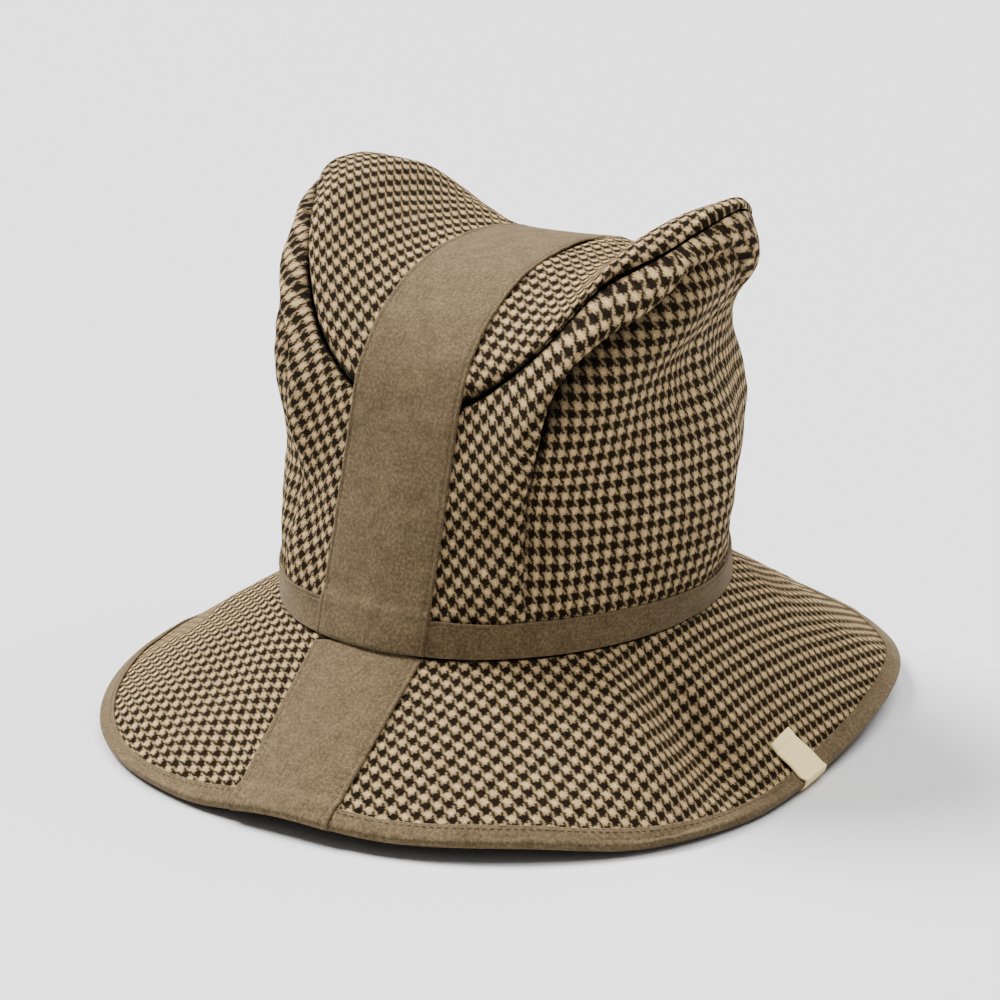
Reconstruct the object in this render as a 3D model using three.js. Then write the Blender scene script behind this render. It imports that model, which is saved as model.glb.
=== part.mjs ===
// A soft check cloth hat with two ear-like corners, a wide tape over its crown and a bound, flared brim.
// Millimetres, +Z up. The wearer faces -Y, and the hat stands on its brim edge at z = 0.
// A turn is an angle round the head in degrees: 0 at the front, 90 at +X, 180 at the back, -90 at -X.
import * as THREE from 'three';

// Head opening, where crown and brim are sewn together
const HEAD_HALF_WIDTH = 88.6;
const HEAD_HALF_DEPTH = 100.7;
const HEAD_HEIGHT = 52.1;

// Cloth
const CLOTH_WALL = 2.2;
const TAPE_WALL = 0.8;
const GAP = 0.3;
const SEAM_GAP = 0.2;
const FOLD_GAP = 0.8;

// Tapes, binding and tab
const TAPE_TURN = 16.4;
const TAPE_EDGE_TURN = 8.6;
const BAND_HEIGHT = 14.5;
const TAPE_STEP = 1.3;
const BINDING_WIDTH = 6;
const FLAT_WIDTH = 3;
const TAB_TURN_START = 80.5;
const TAB_TURN_END = 87.5;
const TAB_LENGTH = 19;

// Height of the brim edge above the table before the cloth flattens there, and of the brim's two faces after
const EDGE_LIFT = 1.4;
const UNDERSIDE_LEVEL = TAPE_WALL + FOLD_GAP;
const TOPSIDE_LEVEL = UNDERSIDE_LEVEL + CLOTH_WALL;

// Crown seam between side and top panels: low at the front and back, high at the ears
const SEAM = table(['turn', 'x', 'y', 'z'], [
  [0, 0, -70, 143],
  [16.4, 25, -69, 145.2],
  [35, 50, -59.3, 163.9],
  [52, 67.8, -41.8, 185.2],
  [72, 84.8, -14.1, 201.6],
  [83, 92, 0, 208.5],
  [90, 95.5, 18, 212.5],
  [97, 92, 34, 209],
  [108, 85, 49.7, 201],
  [128, 68, 70, 184],
  [145, 50, 87, 164],
  [163.6, 25, 96, 145.2],
  [180, 0, 98, 143],
]);

// How far the side panel stands out from a straight wall, at four heights
const SIDE_HEIGHTS = [0, 0.22, 0.45, 0.68, 0.88, 1];
const SIDE = table(['turn', 'foot', 'belly', 'shoulder', 'roll'], [
  [0, 0, 0, 0, 0],
  [16.4, 0, 0, 0, 0],
  [30, 3, 0.5, 4, 4],
  [42, 3.2, 0.3, 9, 8.7],
  [55, 2.5, 3.2, 10.3, 10.6],
  [70, 5.4, 5.5, 2.8, 12.2],
  [90, 7.5, 5.7, -7.5, 5],
  [110, -0.5, 2, -6, -0.5],
  [127, -2.5, 4.6, 3.5, -4],
  [142, 0.6, 5.5, 4.5, -0.4],
  [163.6, 2, 2, 2, 1],
  [180, 2, 2, 2, 1],
]);

// Height of the top panel's arch over the line between its front and back seams
const CREST = table(['turn', 'right', 'left'], [
  [0, 47.5, 47.5],
  [16.4, 46, 46],
  [35, 27.5, 37.5],
  [52, 18, 30],
  [72, 13.3, 15.1],
  [83, 7.4, 6.5],
  [90, 0, 0],
]);
const ARCH_SPREAD = 2.4;
const ARCH_FULLNESS = 0.7;

// Brim edge: how far out of the head opening it reaches, and its rise off the table
const EDGE = table(['turn', 'reach', 'rise'], [
  [0, 60.5, 7.2],
  [18, 64, 6.3],
  [38, 67.5, 6.2],
  [56, 72, 1.5],
  [72, 68, 0],
  [88, 62, 3.6],
  [105, 64.5, 8.4],
  [122, 70.5, 9.8],
  [140, 73, 6],
  [165, 75, 3],
  [190, 77, 1],
  [215, 73, 0],
  [240, 74, 0],
  [262, 70.5, 1.5],
  [285, 73.5, 3.6],
  [305, 75, 2.2],
  [325, 73.5, 0],
  [342, 67, 1.8],
], 360);

// The dart that gathers each corner of the crown, and the soft fold in the brim
const DART = { turn: 41, depth: 4.5, halfWidth: 4.2, top: 0.86 };
const FOLD = { ridgeTurn: 57.5, ridge: 4.4, valleyTurn: 70.5, valley: 6, halfWidth: 6.5 };

// Columns of the cloth in one quarter of the hat, shared by every piece so that layers lie on each other
const QUARTER_TURNS = [8.2, 16.4, 24, 31, 36.5, 41, 46, 52, 58.5, 65, 71, 76, 80.5, 84, 87.5];
const TURNS = [
  -180,
  ...QUARTER_TURNS.map((turn) => turn - 180),
  -90,
  ...QUARTER_TURNS.map((turn) => -turn).reverse(),
  0,
  ...QUARTER_TURNS,
  90,
  ...QUARTER_TURNS.map((turn) => 180 - turn).reverse(),
];
const BAND_ROWS = 2;
const SIDE_ROWS = [0.08, 0.2, 0.32, 0.44, 0.56, 0.67, 0.77, 0.86, 0.94, 1];
const TOP_ROWS = 12;
const BRIM_ROWS = [0.18, 0.38, 0.58, 0.8];

// Least share by which a mitred corner is divided, and how soon the top panel's wall points straight up
const SHARPEST_MITRE = 0.6;
const UPRIGHT_EASE = 0.5;

// Smooth curve through the rows of a table: returns a function of the turn that gives its named columns
function table(names, rows, period = 0) {
  const wrapped = period
    ? [
      ...rows.slice(-2).map(([turn, ...rest]) => [turn - period, ...rest]),
      ...rows,
      ...rows.slice(0, 2).map(([turn, ...rest]) => [turn + period, ...rest]),
    ]
    : rows;
  const slope = (index, column) => {
    const [low, mid, high] = [wrapped[index - 1], wrapped[index], wrapped[index + 1]];
    if (!low) return (high[column] - mid[column]) / (high[0] - mid[0]);
    if (!high) return (mid[column] - low[column]) / (mid[0] - low[0]);
    const before = (mid[column] - low[column]) / (mid[0] - low[0]);
    const after = (high[column] - mid[column]) / (high[0] - mid[0]);
    return (before * (high[0] - mid[0]) + after * (mid[0] - low[0])) / (high[0] - low[0]);
  };
  return (turn) => {
    const at = period ? ((turn % period) + period) % period : turn;
    const found = wrapped.findIndex((row) => row[0] > at);
    const last = found < 0 ? wrapped.length - 1 : Math.max(found, 1);
    const [start, end] = [wrapped[last - 1], wrapped[last]];
    const span = end[0] - start[0];
    const s = (at - start[0]) / span;
    const result = {};
    for (let column = 1; column < names.length; column += 1) {
      result[names[column]] = start[column] * (1 + 2 * s) * (1 - s) ** 2
        + slope(last - 1, column) * span * s * (1 - s) ** 2
        + end[column] * s * s * (3 - 2 * s)
        + slope(last, column) * span * s * s * (s - 1);
    }
    return result;
  };
}

const radians = (degrees) => (degrees * Math.PI) / 180;
const bell = (value) => Math.exp(-value * value);
const between = (start, end, share) => start.clone().lerp(end, share);

// Point on an oval round the head, the given distance outside the head opening
function oval(turn, reach, height) {
  const x = (HEAD_HALF_WIDTH + reach) * Math.sin(radians(turn));
  const y = -(HEAD_HALF_DEPTH + reach) * Math.cos(radians(turn));
  return new THREE.Vector3(x, y, height);
}

// Level direction that points straight out of the head opening
function outward(turn) {
  const x = Math.sin(radians(turn)) / HEAD_HALF_WIDTH;
  const y = -Math.cos(radians(turn)) / HEAD_HALF_DEPTH;
  return new THREE.Vector3(x, y, 0).normalize();
}

// Crown seam on either half of the hat
function seamPoint(turn) {
  const { x, y, z } = SEAM(Math.abs(turn));
  return new THREE.Vector3(Math.sign(turn) * x, y, z);
}

// Smooth weight of one side height: 1 at that height, 0 at the others
const HEIGHT_WEIGHTS = SIDE_HEIGHTS.map((_, index) => table(
  ['height', 'weight'],
  SIDE_HEIGHTS.map((height, row) => [height, row === index ? 1 : 0]),
));

// Side panel: a straight wall from the head opening to the seam, swollen by SIDE and pulled in at the darts
function sidePoint(turn, height) {
  const swell = SIDE(Math.abs(turn));
  const out = swell.foot * HEIGHT_WEIGHTS[1](height).weight
    + swell.belly * HEIGHT_WEIGHTS[2](height).weight
    + swell.shoulder * HEIGHT_WEIGHTS[3](height).weight
    + swell.roll * HEIGHT_WEIGHTS[4](height).weight;
  const fromDart = Math.min(Math.abs(Math.abs(turn) - DART.turn), Math.abs(180 - Math.abs(turn) - DART.turn));
  const along = Math.sin(Math.PI * Math.min(height / DART.top, 1));
  const pinch = DART.depth * bell(fromDart / DART.halfWidth) * along;
  const wall = between(oval(turn, 0, HEAD_HEIGHT), seamPoint(turn), height);
  return wall.addScaledVector(outward(turn), out - pinch);
}

// Top panel: an arch from the front seam, at share 0, to the back seam, at share 1
function topPoint(turn, share) {
  const front = seamPoint(turn);
  const back = seamPoint(Math.sign(turn) * (180 - Math.abs(turn)));
  if (turn === 0) back.copy(seamPoint(180));
  const crest = CREST(Math.abs(turn));
  const rise = turn < 0 ? crest.left : crest.right;
  const arch = (1 - Math.abs(2 * share - 1) ** ARCH_SPREAD) ** ARCH_FULLNESS;
  const point = between(front, back, share);
  point.z += rise * arch;
  return point;
}

// The tape keeps its width on the flared brim, so the columns beside it lean towards it
const EDGE_TURN = table(['turn', 'edge'], [
  [0, 0],
  [TAPE_TURN, TAPE_EDGE_TURN],
  [32, 27],
  [48, 47],
  [65, 65],
  [90, 90],
]);

function edgeTurn(turn) {
  const size = Math.abs(turn);
  const folded = size > 90 ? 180 - EDGE_TURN(180 - size).edge : EDGE_TURN(size).edge;
  return turn < 0 ? -folded : folded;
}

// Brim: straight cloth from the edge, at share 0, up to the head opening, at share 1, with one soft fold
function brimPoint(turn, share) {
  const at = edgeTurn(turn);
  const { reach, rise } = EDGE(at);
  const edge = oval(at, reach, rise + EDGE_LIFT);
  const point = between(edge, oval(turn, 0, HEAD_HEIGHT), share);
  const ridge = FOLD.ridge * bell((turn - FOLD.ridgeTurn) / FOLD.halfWidth);
  const valley = FOLD.valley * bell((turn - FOLD.valleyTurn) / FOLD.halfWidth);
  point.z += (ridge - valley) * Math.sin(Math.PI * share);
  return point;
}

// Grid of points: one column for each turn, one row for each entry that rowsOf gives for that turn
function gridOf(turns, rowsOf, pointOf) {
  return turns.map((turn) => rowsOf(turn).map((row) => pointOf(turn, row)));
}

// Unit normals of a grid, out of the hat; a looped grid joins its last column to its first
function normalsOf(grid, looped) {
  const columns = grid.length;
  const column = (index) => (looped ? (index + columns) % columns : THREE.MathUtils.clamp(index, 0, columns - 1));
  return grid.map((points, i) => points.map((_, j) => {
    const across = grid[column(i + 1)][j].clone().sub(grid[column(i - 1)][j]);
    const rowAfter = Math.min(j + 1, points.length - 1);
    const along = points[rowAfter].clone().sub(points[Math.max(j - 1, 0)]);
    return across.cross(along).normalize();
  }));
}

// Direction in which two sheets that meet at an edge keep one common corner when both get a wall
function mitre(first, second) {
  const share = Math.max(1 + first.dot(second), SHARPEST_MITRE);
  return first.clone().add(second).divideScalar(share);
}

// Moves every point of a grid by the distance that distanceOf gives, along its direction
function offset(grid, directions, distanceOf) {
  return grid.map((points, i) => points.map((point, j) => (
    point.clone().addScaledVector(directions[i][j], distanceOf(i, j))
  )));
}

// Draws one end row of a grid back towards its neighbour, so that two sewn panels keep a small gap
function trimRow(grid, row, neighbour, distance) {
  for (const points of grid) {
    const share = distance / points[row].distanceTo(points[neighbour]);
    points[row] = between(points[row], points[neighbour], share);
  }
}

function trimColumn(grid, column, neighbour, distance) {
  grid[column] = grid[column].map((point, row) => {
    const share = distance / point.distanceTo(grid[neighbour][row]);
    return between(point, grid[neighbour][row], share);
  });
}

// Cloth lies flat where it would go below its level above the table
function settle(grid, level) {
  for (const point of grid.flat()) point.z = Math.max(point.z, level);
}

function meshFrom(points, triangles) {
  const geometry = new THREE.BufferGeometry();
  geometry.setAttribute('position', new THREE.Float32BufferAttribute(points.flatMap((p) => p.toArray()), 3));
  geometry.setIndex(triangles.flat());
  geometry.computeVertexNormals();
  return geometry;
}

// Closed wall between an outer and an inner grid, with its rims; a looped wall has no side rims
function wallGeometry(outer, inner, looped = false) {
  const columns = outer.length;
  const rows = outer[0].length;
  const out = (i, j) => (i % columns) * rows + j;
  const into = (i, j) => columns * rows + out(i, j);
  const triangles = [];
  const quad = (a, b, c, d) => triangles.push([a, b, c], [a, c, d]);
  const spans = looped ? columns : columns - 1;
  for (let i = 0; i < spans; i += 1) {
    for (let j = 0; j < rows - 1; j += 1) {
      quad(out(i, j), out(i + 1, j), out(i + 1, j + 1), out(i, j + 1));
      triangles.push([into(i, j), into(i + 1, j + 1), into(i + 1, j)]);
      triangles.push([into(i, j), into(i, j + 1), into(i + 1, j + 1)]);
    }
    quad(into(i, 0), into(i + 1, 0), out(i + 1, 0), out(i, 0));
    quad(out(i, rows - 1), out(i + 1, rows - 1), into(i + 1, rows - 1), into(i, rows - 1));
  }
  for (let j = 0; j < rows - 1 && !looped; j += 1) {
    quad(out(0, j), out(0, j + 1), into(0, j + 1), into(0, j));
    quad(into(spans, j), into(spans, j + 1), out(spans, j + 1), out(spans, j));
  }
  return meshFrom([...outer.flat(), ...inner.flat()], triangles);
}

// Closed ring swept from one cross-section at each column; its outline runs out over the top and back below
function ringGeometry(sections) {
  const count = sections.length;
  const corners = sections[0].length;
  const at = (i, j) => (i % count) * corners + (j % corners);
  const triangles = [];
  for (let i = 0; i < count; i += 1) {
    for (let j = 0; j < corners; j += 1) {
      triangles.push([at(i, j), at(i + 1, j + 1), at(i + 1, j)]);
      triangles.push([at(i, j), at(i, j + 1), at(i + 1, j + 1)]);
    }
  }
  return meshFrom(sections.flat(), triangles);
}

const checkCloth = { color: 0x7d6d58, roughness: 0.95, metalness: 0 };
const twillTape = { color: 0x86745b, roughness: 0.9, metalness: 0 };
const creamTape = { color: 0xeadab2, roughness: 0.85, metalness: 0 };

const hat = new THREE.Group();

function addPiece(name, geometry, finish) {
  const mesh = new THREE.Mesh(geometry, new THREE.MeshStandardMaterial(finish));
  mesh.name = name;
  hat.add(mesh);
}

const nearFront = (turn) => Math.abs(turn) <= TAPE_TURN;
const nearBack = (turn) => Math.abs(turn) >= 180 - TAPE_TURN;
const indexOf = (turn) => TURNS.indexOf(turn);

// Side panel heights: head opening, top of the band, just above the band, then evenly up to the seam
function sideRows(turn) {
  const rise = seamPoint(turn).z - HEAD_HEIGHT;
  const band = BAND_HEIGHT / rise;
  const step = (BAND_HEIGHT + TAPE_STEP) / rise;
  return [0, band, step, ...SIDE_ROWS.map((row) => step + (1 - step) * row)];
}

// Brim shares from the edge up: flattened strip, binding, just above the binding, then to the head opening
function brimRows(turn) {
  const length = brimPoint(turn, 0).distanceTo(brimPoint(turn, 1));
  const bound = [0, FLAT_WIDTH / length, BINDING_WIDTH / length, (BINDING_WIDTH + TAPE_STEP) / length];
  const rest = BRIM_ROWS.map((row) => bound[3] + (1 - bound[3]) * row);
  return [...bound, ...rest, 1];
}

const topShares = Array.from({ length: TOP_ROWS + 1 }, (_, j) => {
  const even = j / TOP_ROWS;
  const crowded = (1 - Math.cos(Math.PI * even)) / 2;
  return (even + crowded) / 2;
});
const TOP_TURNS = TURNS.filter((turn) => Math.abs(turn) < 90);

// Skins: the outer faces of the cloth
const side = gridOf(TURNS, sideRows, sidePoint);
const top = gridOf(TOP_TURNS, () => topShares, topPoint);
const brim = gridOf(TURNS, brimRows, brimPoint);
const sideNormals = normalsOf(side, true);
const topNormals = normalsOf(top, false);
const brimNormals = normalsOf(brim, true);
const seamRow = side[0].length - 1;
const headRow = brim[0].length - 1;

// Directions for the walls, with mitred corners along the seam and the head opening
const sideWall = sideNormals.map((column) => [...column]);
const topWall = topNormals.map((column) => [...column]);
const brimWall = brimNormals.map((column) => [...column]);
TOP_TURNS.forEach((turn, i) => {
  const front = indexOf(turn);
  const mirrored = turn === 0 ? -180 : Math.sign(turn) * (180 - Math.abs(turn));
  const back = indexOf(mirrored);
  topWall[i][0] = mitre(topNormals[i][0], sideNormals[front][seamRow]);
  topWall[i][TOP_ROWS] = mitre(topNormals[i][TOP_ROWS], sideNormals[back][seamRow]);
  sideWall[front][seamRow] = topWall[i][0];
  sideWall[back][seamRow] = topWall[i][TOP_ROWS];
  topShares.slice(1, -1).forEach((share, j) => {
    const direction = between(topWall[i][0], topWall[i][TOP_ROWS], share);
    direction.z += (1 - direction.z) * Math.sin(Math.PI * share) ** UPRIGHT_EASE;
    topWall[i][j + 1] = direction;
  });
});
TURNS.forEach((_, i) => {
  brimWall[i][headRow] = mitre(brimNormals[i][headRow], sideNormals[i][0]);
  sideWall[i][0] = brimWall[i][headRow];
});

function buildCrownSides() {
  const inner = offset(side, sideWall, () => -CLOTH_WALL);
  const halves = { crown_side_left: [-180, 0], crown_side_right: [0, 180] };
  for (const [name, [start, end]] of Object.entries(halves)) {
    const columns = TURNS.filter((turn) => turn >= start && turn <= end).map(indexOf);
    if (end === 180) columns.push(indexOf(-180));
    const faces = [side, inner].map((grid) => columns.map((column) => [...grid[column]]));
    for (const grid of faces) {
      trimRow(grid, seamRow, seamRow - 1, SEAM_GAP);
      trimRow(grid, 0, 1, SEAM_GAP);
      trimColumn(grid, 0, 1, SEAM_GAP);
      trimColumn(grid, columns.length - 1, columns.length - 2, SEAM_GAP);
    }
    addPiece(name, wallGeometry(...faces), checkCloth);
  }
}

function buildCrownTop() {
  const faces = [offset(top, topWall, () => 0), offset(top, topWall, () => -CLOTH_WALL)];
  for (const grid of faces) {
    trimRow(grid, 0, 1, SEAM_GAP);
    trimRow(grid, TOP_ROWS, TOP_ROWS - 1, SEAM_GAP);
  }
  addPiece('crown_top', wallGeometry(...faces), checkCloth);
}

function buildBrim() {
  const outer = offset(brim, brimWall, () => 0);
  const inner = offset(brim, brimWall, () => -CLOTH_WALL);
  settle(outer, TOPSIDE_LEVEL);
  settle(inner, UNDERSIDE_LEVEL);
  for (const grid of [outer, inner]) {
    trimRow(grid, headRow, headRow - 1, SEAM_GAP);
  }
  addPiece('brim', wallGeometry(outer, inner, true), checkCloth);
}

// Band round the foot of the crown
function buildBand() {
  const foot = side.map((column) => column.slice(0, BAND_ROWS));
  const directions = sideNormals.map((column) => column.slice(0, BAND_ROWS));
  const faces = [GAP + TAPE_WALL, GAP].map((distance) => offset(foot, directions, () => distance));
  for (const grid of faces) trimRow(grid, 0, 1, GAP);
  addPiece('crown_band', wallGeometry(...faces, true), twillTape);
}

// Tape over the crown: up the front, over the top panel and down the back, on top of the band at its ends
function buildCrownStrip() {
  const frontTurns = TURNS.filter(nearFront);
  const columns = frontTurns.map((turn) => {
    const front = indexOf(turn);
    const back = indexOf(turn === 0 ? -180 : Math.sign(turn) * (180 - Math.abs(turn)));
    const over = TOP_TURNS.indexOf(turn);
    const path = [];
    side[front].forEach((point, row) => {
      const direction = row === seamRow ? sideWall[front][row] : sideNormals[front][row];
      path.push({ point, direction, overBand: row < BAND_ROWS });
    });
    for (let row = 1; row < TOP_ROWS; row += 1) {
      path.push({ point: top[over][row], direction: topNormals[over][row], overBand: false });
    }
    for (let row = seamRow; row >= 0; row -= 1) {
      const direction = row === seamRow ? sideWall[back][row] : sideNormals[back][row];
      path.push({ point: side[back][row], direction, overBand: row < BAND_ROWS });
    }
    return path;
  });
  const points = columns.map((path) => path.map(({ point }) => point));
  const directions = columns.map((path) => path.map(({ direction }) => direction));
  const last = points[0].length - 1;
  const faces = [TAPE_WALL, 0].map((thickness) => offset(points, directions, (i, j) => {
    const under = columns[i][j].overBand ? GAP + TAPE_WALL + GAP : GAP;
    return under + thickness;
  }));
  for (const grid of faces) {
    trimRow(grid, 0, 1, GAP);
    trimRow(grid, last, last - 1, GAP);
  }
  addPiece('crown_strip', wallGeometry(...faces), twillTape);
}

// Frame at the brim edge of one column: the edge point, straight out along the cloth, and off its face
function edgeFrame(column) {
  const edge = brim[column][0];
  const out = edge.clone().sub(brim[column][1]).normalize();
  return { edge, out, up: brimNormals[column][0] };
}

// Brim rows that lie at these distances along the cloth from its edge
const EDGE_ROWS = { [-FLAT_WIDTH]: 1, [-BINDING_WIDTH]: 2 };
const ROW_BEYOND_BINDING = 3;

// Point beside the brim edge, given along the cloth and off its face, kept above its level
function besideEdge(column, along, off, level) {
  const { edge, out, up } = edgeFrame(column);
  const row = EDGE_ROWS[along];
  const start = row ? brim[column][row] : edge.clone().addScaledVector(out, along);
  const direction = row ? brimNormals[column][row] : up;
  const point = start.clone().addScaledVector(direction, off);
  point.z = Math.max(point.z, level);
  return point;
}

// Binding folded over the brim edge: a U-shaped section, flattened where the hat rests
function buildBinding() {
  const fold = GAP + TAPE_WALL;
  const under = -CLOTH_WALL - FOLD_GAP;
  const topLevel = TOPSIDE_LEVEL + GAP;
  const nose = FOLD_GAP + TAPE_WALL;
  const outline = [
    [-BINDING_WIDTH, fold, topLevel + TAPE_WALL],
    [-FLAT_WIDTH, fold, topLevel + TAPE_WALL],
    [FOLD_GAP, fold, topLevel + TAPE_WALL],
    [nose, 0, topLevel],
    [nose, under, TAPE_WALL / 2],
    [FOLD_GAP, under - TAPE_WALL, 0],
    [-FLAT_WIDTH, under - TAPE_WALL, 0],
    [-BINDING_WIDTH, under - TAPE_WALL, 0],
    [-BINDING_WIDTH, under, TAPE_WALL],
    [-FLAT_WIDTH, under, TAPE_WALL],
    [FOLD_GAP, under, TAPE_WALL],
    [FOLD_GAP, GAP, topLevel],
    [-FLAT_WIDTH, GAP, topLevel],
    [-BINDING_WIDTH, GAP, topLevel],
  ];
  const sections = TURNS.map((_, column) => (
    outline.map(([along, off, level]) => besideEdge(column, along, off, level))
  ));
  addPiece('brim_binding', ringGeometry(sections), twillTape);
}

// Strip laid on the brim from its last row, drawn back a little, over the binding and down its nose
function buildOverEdge(name, columns, lastRow, drawnBack, finish) {
  const overBinding = GAP + TAPE_WALL + GAP;
  const level = TOPSIDE_LEVEL;
  const faces = [TAPE_WALL, 0].map((thickness) => columns.map((column) => {
    const path = [];
    const nose = FOLD_GAP + TAPE_WALL + GAP + thickness;
    const height = overBinding + thickness;
    path.push(besideEdge(column, nose, -CLOTH_WALL, GAP));
    path.push(besideEdge(column, nose, 0, level));
    path.push(besideEdge(column, FOLD_GAP, height, level + height));
    path.push(besideEdge(column, -FLAT_WIDTH, height, level + height));
    path.push(besideEdge(column, -BINDING_WIDTH, height, level + height));
    for (let row = ROW_BEYOND_BINDING; row <= lastRow; row += 1) {
      path.push(brim[column][row].clone().addScaledVector(brimNormals[column][row], GAP + thickness));
    }
    return path;
  }));
  const last = faces[0][0].length - 1;
  for (const grid of faces) {
    trimRow(grid, last, last - 1, drawnBack);
  }
  addPiece(name, wallGeometry(...faces), finish);
}

function buildBrimStrips() {
  const clearOfCrown = 3;
  const front = TURNS.filter(nearFront).map(indexOf);
  const backTurns = TURNS.filter(nearBack);
  const left = backTurns.filter((turn) => turn < 0);
  const right = backTurns.filter((turn) => turn > 0);
  const back = [...right, ...left].map(indexOf);
  buildOverEdge('brim_strip_front', front, headRow, clearOfCrown, twillTape);
  buildOverEdge('brim_strip_back', back, headRow, clearOfCrown, twillTape);
}

// Plain cream tab folded over the edge at the front right
function buildTab() {
  const columns = TURNS.filter((turn) => turn >= TAB_TURN_START && turn <= TAB_TURN_END).map(indexOf);
  const lastRow = ROW_BEYOND_BINDING + 1;
  const length = brim[columns[0]][0].distanceTo(brim[columns[0]][lastRow]);
  buildOverEdge('brim_tab', columns, lastRow, Math.max(length - TAB_LENGTH, SEAM_GAP), creamTape);
}

buildCrownSides();
buildCrownTop();
buildCrownStrip();
buildBand();
buildBrim();
buildBrimStrips();
buildBinding();
buildTab();

// The origin is under the middle of the hat's box, on the table
hat.updateMatrixWorld(true);
const box = new THREE.Box3().setFromObject(hat);
const middle = box.getCenter(new THREE.Vector3());
hat.position.set(-middle.x, -middle.y, -box.min.z);

export default hat;
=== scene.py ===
import bpy
import numpy as np
from mathutils import Matrix, Vector


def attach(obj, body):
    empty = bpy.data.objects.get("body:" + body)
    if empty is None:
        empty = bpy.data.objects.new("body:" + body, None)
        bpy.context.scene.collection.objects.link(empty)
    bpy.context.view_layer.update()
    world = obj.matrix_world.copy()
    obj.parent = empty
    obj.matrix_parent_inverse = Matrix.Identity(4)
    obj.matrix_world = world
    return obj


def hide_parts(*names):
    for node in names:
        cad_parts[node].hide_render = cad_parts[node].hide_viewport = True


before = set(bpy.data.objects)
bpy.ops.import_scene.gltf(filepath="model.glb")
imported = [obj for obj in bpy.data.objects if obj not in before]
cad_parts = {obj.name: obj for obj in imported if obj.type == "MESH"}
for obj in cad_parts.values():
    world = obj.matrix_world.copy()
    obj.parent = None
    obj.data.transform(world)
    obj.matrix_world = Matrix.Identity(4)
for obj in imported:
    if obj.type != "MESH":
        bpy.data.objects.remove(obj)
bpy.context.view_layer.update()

# A soft check cloth hat with two ear-like corners. Shapes are worked out in millimetres in the hat's own
# frame: the head opening's centre on the table, the wearer facing -Y, and a turn in degrees round the head
# that is 0 at the front, 90 at +X and 180 at the back.
MM = 0.001
HAT_CENTRE = np.array([4.110, -7.804, 0.0])

# Sizes shared with the model's solids
HEAD_HALF_WIDTH = 88.6
HEAD_HALF_DEPTH = 100.7
HEAD_HEIGHT = 52.1
CLOTH_WALL = 2.0
TAPE_WALL = 0.8
GAP = 0.3
FOLD_GAP = 0.8
TAPE_TURN = 16.4
TAPE_EDGE_TURN = 8.6
BAND_HEIGHT = 14.5
BINDING_WIDTH = 6.0
EDGE_LIFT = 1.4
CROWN_TAPE_HALF_WIDTH = 25.0
BRIM_TAPE_HALF_WIDTH = 24.0
UNDERSIDE_LEVEL = TAPE_WALL + FOLD_GAP
TOPSIDE_LEVEL = UNDERSIDE_LEVEL + CLOTH_WALL

# Distance of a line of stitches from its tape's edge, and how far cloth is tucked in under a tape
STITCH_LINE = 2.0
TUCK_UNDER_TAPE = 1.2
TUCK_UNDER_BAND = 0.5

# Eight threads, four dark and four light, make one repeat of the check. The warp is packed closer than the
# weft, so the repeat is shorter across the warp than along it
REPEAT_ACROSS = 4.65
REPEAT_ALONG = 6.05


def curve(rows, period=0):
    """Smooth curve through rows of (turn, values...): cubic Hermite pieces whose slope at a row is the mean
    of its two neighbours' slopes, each weighted by the other's step. Returns a function of an array."""
    rows = np.array(rows, float)
    turns, values = rows[:, 0], rows[:, 1:]
    if period:
        turns = np.concatenate([turns[-2:] - period, turns, turns[:2] + period])
        values = np.concatenate([values[-2:], values, values[:2]])
    steps = np.diff(turns)[:, None]
    rates = np.diff(values, axis=0) / steps
    slopes = np.concatenate([rates[:1], rates])
    slopes[1:-1] = (rates[:-1] * steps[1:] + rates[1:] * steps[:-1]) / (steps[1:] + steps[:-1])

    def at(turn):
        turn = np.asarray(turn, float)
        turn = np.mod(turn, period) if period else turn
        i = np.clip(np.searchsorted(turns, turn, side="right") - 1, 0, len(turns) - 2)
        span = (turns[i + 1] - turns[i])[..., None]
        s = (turn - turns[i])[..., None] / span
        start = values[i] * (1 + 2 * s) * (1 - s) ** 2 + slopes[i] * span * s * (1 - s) ** 2
        end = values[i + 1] * s * s * (3 - 2 * s) + slopes[i + 1] * span * s * s * (s - 1)
        return start + end

    return at


# Crown seam: turn, then x, y and z
SEAM = curve([
    (0, 0, -70, 143),
    (16.4, 25, -69, 145.2),
    (35, 50, -59.3, 163.9),
    (52, 67.8, -41.8, 185.2),
    (72, 84.8, -14.1, 201.6),
    (83, 92, 0, 208.5),
    (90, 95.5, 18, 212.5),
    (97, 92, 34, 209),
    (108, 85, 49.7, 201),
    (128, 68, 70, 184),
    (145, 50, 87, 164),
    (163.6, 25, 96, 145.2),
    (180, 0, 98, 143),
])

# How far the side panel stands out from a straight wall: turn, then foot, belly, shoulder and roll
SIDE = curve([
    (0, 0, 0, 0, 0),
    (16.4, 0, 0, 0, 0),
    (30, 3, 0.5, 4, 4),
    (42, 3.2, 0.3, 9, 8.7),
    (55, 2.5, 3.2, 10.3, 10.6),
    (70, 5.4, 5.5, 2.8, 12.2),
    (90, 7.5, 5.7, -7.5, 5),
    (110, -0.5, 2, -6, -0.5),
    (127, -2.5, 4.6, 3.5, -4),
    (142, 0.6, 5.5, 4.5, -0.4),
    (163.6, 2, 2, 2, 1),
    (180, 2, 2, 2, 1),
])
SIDE_HEIGHTS = [0, 0.22, 0.45, 0.68, 0.88, 1]
HEIGHT_WEIGHTS = curve([(height, *np.eye(6)[row]) for row, height in enumerate(SIDE_HEIGHTS)])

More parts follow.
